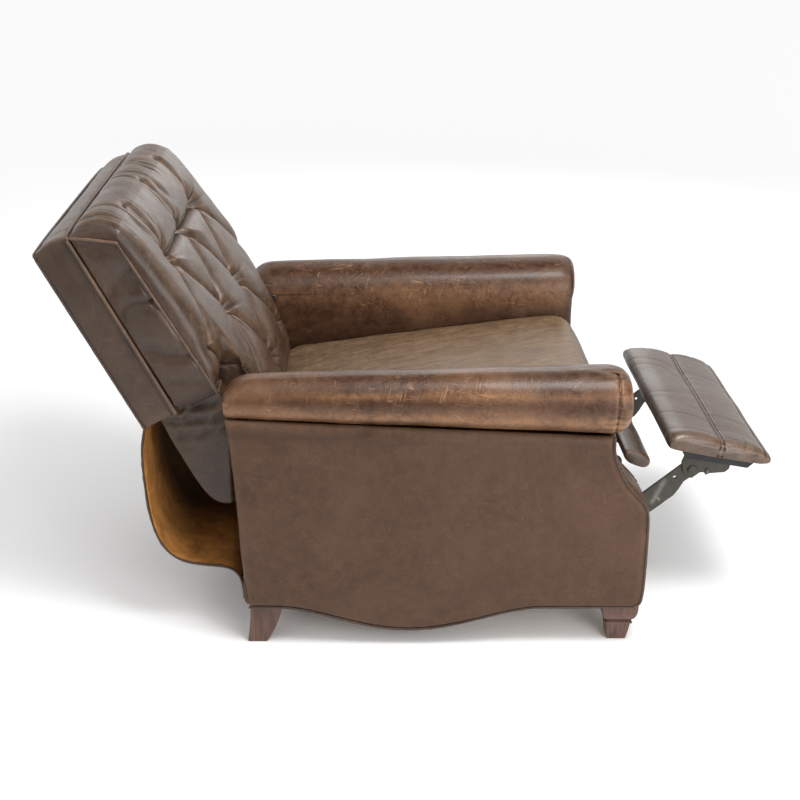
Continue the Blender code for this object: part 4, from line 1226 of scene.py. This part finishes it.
def flap_layer(name, near, far, material, replaces=()):
    """One layer of the rear flap, between two offsets from its route; the route is returned too."""
    rows, columns = 150, 60
    route = resample(FLAP_ROUTE, rows, rounds=3)
    step = np.gradient(route, axis=0)
    step /= np.linalg.norm(step, axis=1, keepdims=True)
    out = np.stack([step[:, 1], -step[:, 0]], 1)
    x = np.linspace(-FLAP_HALF, FLAP_HALF, columns)[None]
    run = np.linspace(0, 1, rows)[:, None]
    drift = np.stack(np.broadcast_arrays(x, run * 0.5, 0 * run), -1)
    wave = (0.0040 * np.sin(x * 9 + 5 * run) + 0.0015 * noise(drift, 14, 111)) * np.sin(pi * run)
    layers = [chair(x, route[:, None] + out[:, None] * (offset + wave)[..., None]) for offset in (near, far)]

    # Painted shade: the suede darkens away from the flap's open sides, deep inside it
    def tone(co):
        return 0.85 * smooth_step(0.15, 0.28, FLAP_HALF - np.abs(co[:, 0]))

    piece = shell(name, layers[1], layers[0], material, replaces, body=None,
                  tone=tone if material is MAT["suede"] else None)
    length = float(np.linalg.norm(np.diff(route, axis=0), axis=1).sum())
    return piece, length, route


def blend_flap(piece):
    """Bakes the piece's placement into its mesh."""
    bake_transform(piece)


def rear_flap():
    """Hanging flap behind the lower back: leather outside, napped suede inside, bound edges."""
    outer, length, route = flap_layer("rear_flap_leather", 0.0002, 0.0020, MAT["body"], ["rear_flap"])
    inner, _, _ = flap_layer("rear_flap_suede", -0.0016, -0.0002, MAT["suede"])
    for piece in (outer, inner):
        blend_flap(piece)
    for side, sign in SIDES:
        edge = tube("flap_binding_" + side, chair(sign * (FLAP_HALF + 0.0005), route), 0.0027, MAT["welt"],
                    None, waver=0.35)
        blend_flap(edge)


# ---- Feet and mechanism ---------------------------------------------------------------------------
SHARP_EDGE = radians(30)
SCUFFED_MESH = 0.005          # longest edge of a plate that carries a rubbed patch
SLEEVE = (0.2612, 0.2748)     # nearest and farthest x of the leather over a hinge plate
LINK_HOLE = ((0.9060, 0.3010), 0.0034)


def rounded(piece, width, segments=3):
    """Rounds the piece's sharp edges."""
    bevel = piece.modifiers.new("rounded", "BEVEL")
    bevel.width = width
    bevel.segments = segments
    bevel.limit_method = "ANGLE"
    bevel.angle_limit = SHARP_EDGE
    bevel.harden_normals = True
    return piece


def plate(name, outline, holes, x_from, x_to, material, body, slot, replaces=(), bevel=0.0007, wear=None):
    """Flat plate with rounded edges and round holes, from an outline of (forward, up) points."""
    curve = bpy.data.curves.new(name, "CURVE")
    curve.dimensions = "2D"
    curve.fill_mode = "BOTH"
    curve.extrude = abs(x_to - x_from) / 2 - bevel
    curve.bevel_depth = bevel
    curve.bevel_resolution = 2
    curve.offset = -bevel
    rings = [outline] + [[(f + r * cos(2 * pi * k / 32), u + r * sin(2 * pi * k / 32)) for k in range(32)]
                         for (f, u), r in holes]
    for ring in rings:
        spline = curve.splines.new("POLY")
        spline.points.add(len(ring) - 1)
        for point, (f, u) in zip(spline.points, ring):
            point.co = (f, u, 0, 1)
        spline.use_cyclic_u = True
    holder = bpy.data.objects.new(name + "_curve", curve)
    mesh = bpy.data.meshes.new_from_object(holder)
    shape = bmesh.new()
    shape.from_mesh(mesh)
    bmesh.ops.remove_doubles(shape, verts=shape.verts, dist=1e-6)
    for _ in range(5 if wear else 0):
        bmesh.ops.triangulate(shape, faces=shape.faces)
        bmesh.ops.subdivide_edges(shape, edges=[e for e in shape.edges if e.calc_length() > SCUFFED_MESH],
                                  cuts=1)
    bmesh.ops.dissolve_degenerate(shape, dist=2e-5, edges=shape.edges)
    shape.to_mesh(mesh)
    shape.free()
    verts = [((x_from + x_to) / 2 + v.co.z, MIDDLE - v.co.x, v.co.y) for v in mesh.vertices]
    faces = [list(p.vertices) for p in mesh.polygons]
    bpy.data.objects.remove(holder)
    bpy.data.curves.remove(curve)
    bpy.data.meshes.remove(mesh)
    piece = add_piece(name, verts, faces, material, body, replaces, rounds=0, wear=wear)
    piece.data.set_sharp_from_angle(angle=radians(40))
    return piece


def arc(centre, radius, start, end, steps):
    """Points of an arc, angles in degrees counter-clockwise from forward."""
    return [(centre[0] + radius * cos(radians(start + (end - start) * k / steps)),
             centre[1] + radius * sin(radians(start + (end - start) * k / steps))) for k in range(steps + 1)]


def dome(name, centre, x_base, direction, radius, height, material, body, replaces=()):
    """Rounded rivet or screw head standing off a plate."""
    verts = []
    rings, sides = 8, 32
    for k in range(rings):
        share = k / (rings - 1)
        reach = radius * cos(pi / 2 * share * 0.97)
        rise = height * sin(pi / 2 * share)
        if k == 0:
            verts += [(x_base, MIDDLE - centre[0] - reach * cos(2 * pi * j / sides),
                       centre[1] + reach * sin(2 * pi * j / sides))
                      for j in range(sides)]
        verts += [(x_base + direction * (0.0004 + rise), MIDDLE - centre[0] - reach * cos(2 * pi * j / sides),
                   centre[1] + reach * sin(2 * pi * j / sides)) for j in range(sides)]
    faces = grid_faces(rings + 1, sides, wrap=True) + [list(range(sides)),
                                                       list(range(rings * sides, (rings + 1) * sides))]
    piece = add_piece(name, verts, faces, material, body, replaces, rounds=0)
    piece.data.set_sharp_from_angle(angle=radians(40))
    return piece


def mechanism(side, sign):
    """Front link, footrest bracket with its flange, rivet and screw, and the leather over the hinge plate."""
    low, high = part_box("front_link_" + side)
    upper = [(0.848, 0.2685), (0.9085, 0.3230), (0.9215, 0.3350)]
    outline = arc(LINK_PIVOT, 0.021, 130, 300, 12)
    outline += [(0.838, 0.2010), (0.864, 0.2180), (0.8815, 0.2330), (0.8925, 0.2435), (0.9075, 0.2560),
                (0.9175, 0.2720), (0.9265, 0.2905)]
    outline += arc(REST_PIVOT, 0.0180, -75, 120, 12) + upper[::-1]

    def scuffed(co):
        """A rubbed streak below the hole, along the link."""
        start, way = np.array([0.861, 0.2345]), np.array([0.379, 0.925])
        forward, up = MIDDLE - co[:, 1] - start[0], co[:, 2] - start[1]
        run, off = forward * way[0] + up * way[1], forward * way[1] - up * way[0]
        return 0.6 * np.exp(-(off / 0.0048) ** 2) * smooth_step(-0.004, 0.006,
                                                                run) * smooth_step(0.072, 0.060, run)

    plate("front_link_plate_" + side, outline, [LINK_HOLE], low.x, high.x, MAT["steel"],
          "front_links", "steel", ["front_link_" + side], wear=scuffed)
    low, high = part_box("footrest_bracket_" + side)
    outer = max(abs(low.x), abs(high.x))
    base = [tuple(p) for p in on_pad([0.154, 0.056, 0.053], [-0.0385, -0.0385, -0.060])]
    bracket = base + arc(REST_PIVOT, 0.0200, 185, 275, 10)
    bracket += [tuple(p) for p in on_pad([0.098, 0.106, 0.112, 0.118, 0.150, 0.157, 0.157],
                                         [-0.0760, -0.0740, -0.0800, -0.0745, -0.0660, -0.0570, -0.0450])]
    plate("footrest_bracket_plate_" + side, bracket, [], low.x, high.x, MAT["steel"], "footrest", "steel",
          ["footrest_bracket_" + side])
    flange = [tuple(p) for p in on_pad([0.054, 0.158, 0.158, 0.054], [-0.0400, -0.0400, -0.0425, -0.0425])]
    inner_edge = sign * (outer - 0.022)
    plate("bracket_flange_" + side, flange, [], *sorted((inner_edge, sign * (outer + 0.001))), MAT["steel"],
          "footrest", "steel", bevel=0.0005)
    dome("rivet_head_" + side, REST_PIVOT, sign * (outer + 0.0002), sign, 0.0105, 0.0032, MAT["steel"],
         "footrest")
    screw = tuple(on_pad(0.1120, -0.0690))
    dome("bracket_screw_" + side, screw, sign * (outer + 0.0002), sign, 0.0052, 0.0030, MAT["steel_worn"],
         "footrest")
    strap = [tuple(p) for p in on_back([-0.080, -0.080], [0.017, -0.022])]
    strap = [tuple(p) for p in resample(arc(HINGE, 0.0100, -53, 122, 10) + strap, 90, closed=True, rounds=2)]
    plate("hinge_sleeve_" + side, strap, [], *sorted(sign * x for x in SLEEVE), MAT["welt"], "back",
          "leather", ["back_hinge_plate_" + side], bevel=0.0030)


def rail_cover():
    """Leather turned round the rear rail, which shows under the flap."""
    low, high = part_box("rear_rail")
    rear, front = MIDDLE - high.y - 0.0018, MIDDLE - low.y + 0.0018
    ring = resample([(rear, low.z - 0.0045), (front, low.z - 0.0045), (front, high.z + 0.0018),
                     (rear, high.z + 0.0018)],
                    60, closed=True, rounds=2)
    cushion("rear_rail_cover", ring, ring, high.x + 0.0012, 0.004, MAT["body"], "base",
            stations=60, cap_rings=3, cap_bulge=0.0)


def front_foot(side):
    """Square foot turned in section: flare, collar and tapered block."""
    low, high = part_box("front_foot_" + side)
    across, forward = (low.x + high.x) / 2, MIDDLE - (low.y + high.y) / 2
    profile = [(FOOT_TOP, 0.0370), (0.084, 0.0370), (0.074, 0.0362), (0.066, 0.0342), (0.059, 0.0312),
               (0.054, 0.0275),
               (0.0505, 0.0250), (0.0490, 0.0250), (0.0480, 0.0282), (0.0440, 0.0282), (0.0430, 0.0252),
               (0.030, 0.0238),
               (0.004, 0.0200), (0.0, 0.0185)]
    shape_verts = []
    for up, half in profile:
        for dx, df in ((-half, -half), (half, -half), (half, half), (-half, half)):
            shape_verts.append(chair(across + dx, (forward + df, up)))
    faces = grid_faces(len(profile), 4, wrap=True)
    last = 4 * (len(profile) - 1)
    faces += [[0, 1, 2, 3], [last, last + 1, last + 2, last + 3]]
    foot = add_piece("front_foot_block_" + side, shape_verts, faces, MAT["foot"], "base",
                     ["front_foot_" + side], rounds=0)
    rounded(foot, 0.00045)


def rear_foot(side):
    low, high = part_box("rear_foot_" + side)
    outline = resample([(0.002, FOOT_TOP), (0.001, 0.055), (-0.006, 0.0)], 10, rounds=2).tolist()
    outline += resample([(0.034, 0.0), (0.043, 0.014), (0.052, 0.032), (0.060, 0.052), (0.066, 0.074),
                         (0.070, FOOT_TOP)],
                        18, rounds=2).tolist()
    count = len(outline)
    verts = np.concatenate([chair(low.x, np.array(outline)), chair(high.x, np.array(outline))])
    faces = grid_faces(2, count, wrap=True) + [list(range(count)), list(range(count, 2 * count))]
    foot = add_piece("rear_foot_block_" + side, verts, faces, MAT["foot"], "base",
                     ["rear_foot_" + side],
                     rounds=0)
    rounded(foot, 0.0022)


# ---- Stage ------------------------------------------------------------------------------------------
def floor_and_light():
    """Pale floor, white surroundings, soft boxes, and dark cards that deepen the reflections."""
    for name, size, place, turn, shade in (("studio_floor", 40, (0, 0, 0), (0, 0, 0), 0.96),
                                           ("dark_card_near", 3.0, (-3.3, 0.0, 1.55), (0, pi / 2, 0), 0.02),
                                           ("dark_card_front", 2.6, (0.4, -3.3, 1.9), (pi / 2, 0, 0), 0.02),
                                           ("dark_card_top", 2.4, (1.5, 0.2, 3.3), (0, 0, 0), 0.02)):
        bpy.ops.mesh.primitive_plane_add(size=size, location=place, rotation=turn)
        board = bpy.context.object
        board.name = name
        n = Nodes(name)
        n.shader.inputs["Base Color"].default_value = (shade, shade, shade, 1)
        n.shader.inputs["Roughness"].default_value = 0.9
        n.shader.inputs["Specular IOR Level"].default_value = 0.1
        board.data.materials.append(n.material)
        board.visible_camera = name == "studio_floor"
    world = bpy.data.worlds.new("studio")
    bpy.context.scene.world = world
    world.use_nodes = True
    world.node_tree.nodes["Background"].inputs["Color"].default_value = (1, 1, 1, 1)
    world.node_tree.nodes["Background"].inputs["Strength"].default_value = 1.0
    for name, place, size, power in (("key_above", (-1.05, -0.75, 3.1), 1.0, 60),
                                     ("far_soft", (3.0, -0.6, 1.9), 1.6, 14),
                                     ("near_soft", (-2.3, -1.2, 1.1), 1.2, 26)):
        lamp = bpy.data.lights.new(name, "AREA")
        lamp.size = size
        lamp.energy = power
        holder = bpy.data.objects.new(name, lamp)
        holder.location = place
        holder.rotation_euler = (Vector((0, 0, 0.4)) - Vector(place)).to_track_quat("-Z", "Y").to_euler()
        holder.visible_camera = False
        bpy.context.scene.collection.objects.link(holder)


CAMERA_AT = (-2.5785, MIDDLE - 0.2357, 1.5467)
CAMERA_DOWN = 24.18
CAMERA_LENS = 56.05
CAMERA_SHIFT = 0.0471


def camera():
    """Beside the chair's right arm and above it, looking straight across and 24 degrees down."""
    data = bpy.data.cameras.new("camera")
    data.sensor_width = 36.0
    data.lens = CAMERA_LENS
    data.shift_x = CAMERA_SHIFT
    holder = bpy.data.objects.new("camera", data)
    holder.location = CAMERA_AT
    holder.rotation_euler = (radians(90 - CAMERA_DOWN), 0.0, radians(-90))
    bpy.context.scene.collection.objects.link(holder)
    bpy.context.scene.camera = holder


def build():
    finish_cad_nodes()
    for side, sign in SIDES:
        arm_roll(side, sign)
        side_panel(side, sign)
        arm_front(side, sign)
        inner_arm(side, sign)
        arm_rear(side, sign)
        front_foot(side)
        rear_foot(side)
        mechanism(side, sign)
    rail_cover()
    seat()
    footrest()
    filler()
    back_cushion()
    outer_back()
    lower_back()
    rear_flap()


camera()
build()
floor_and_light()
bpy.context.scene.view_settings.view_transform = "Standard"
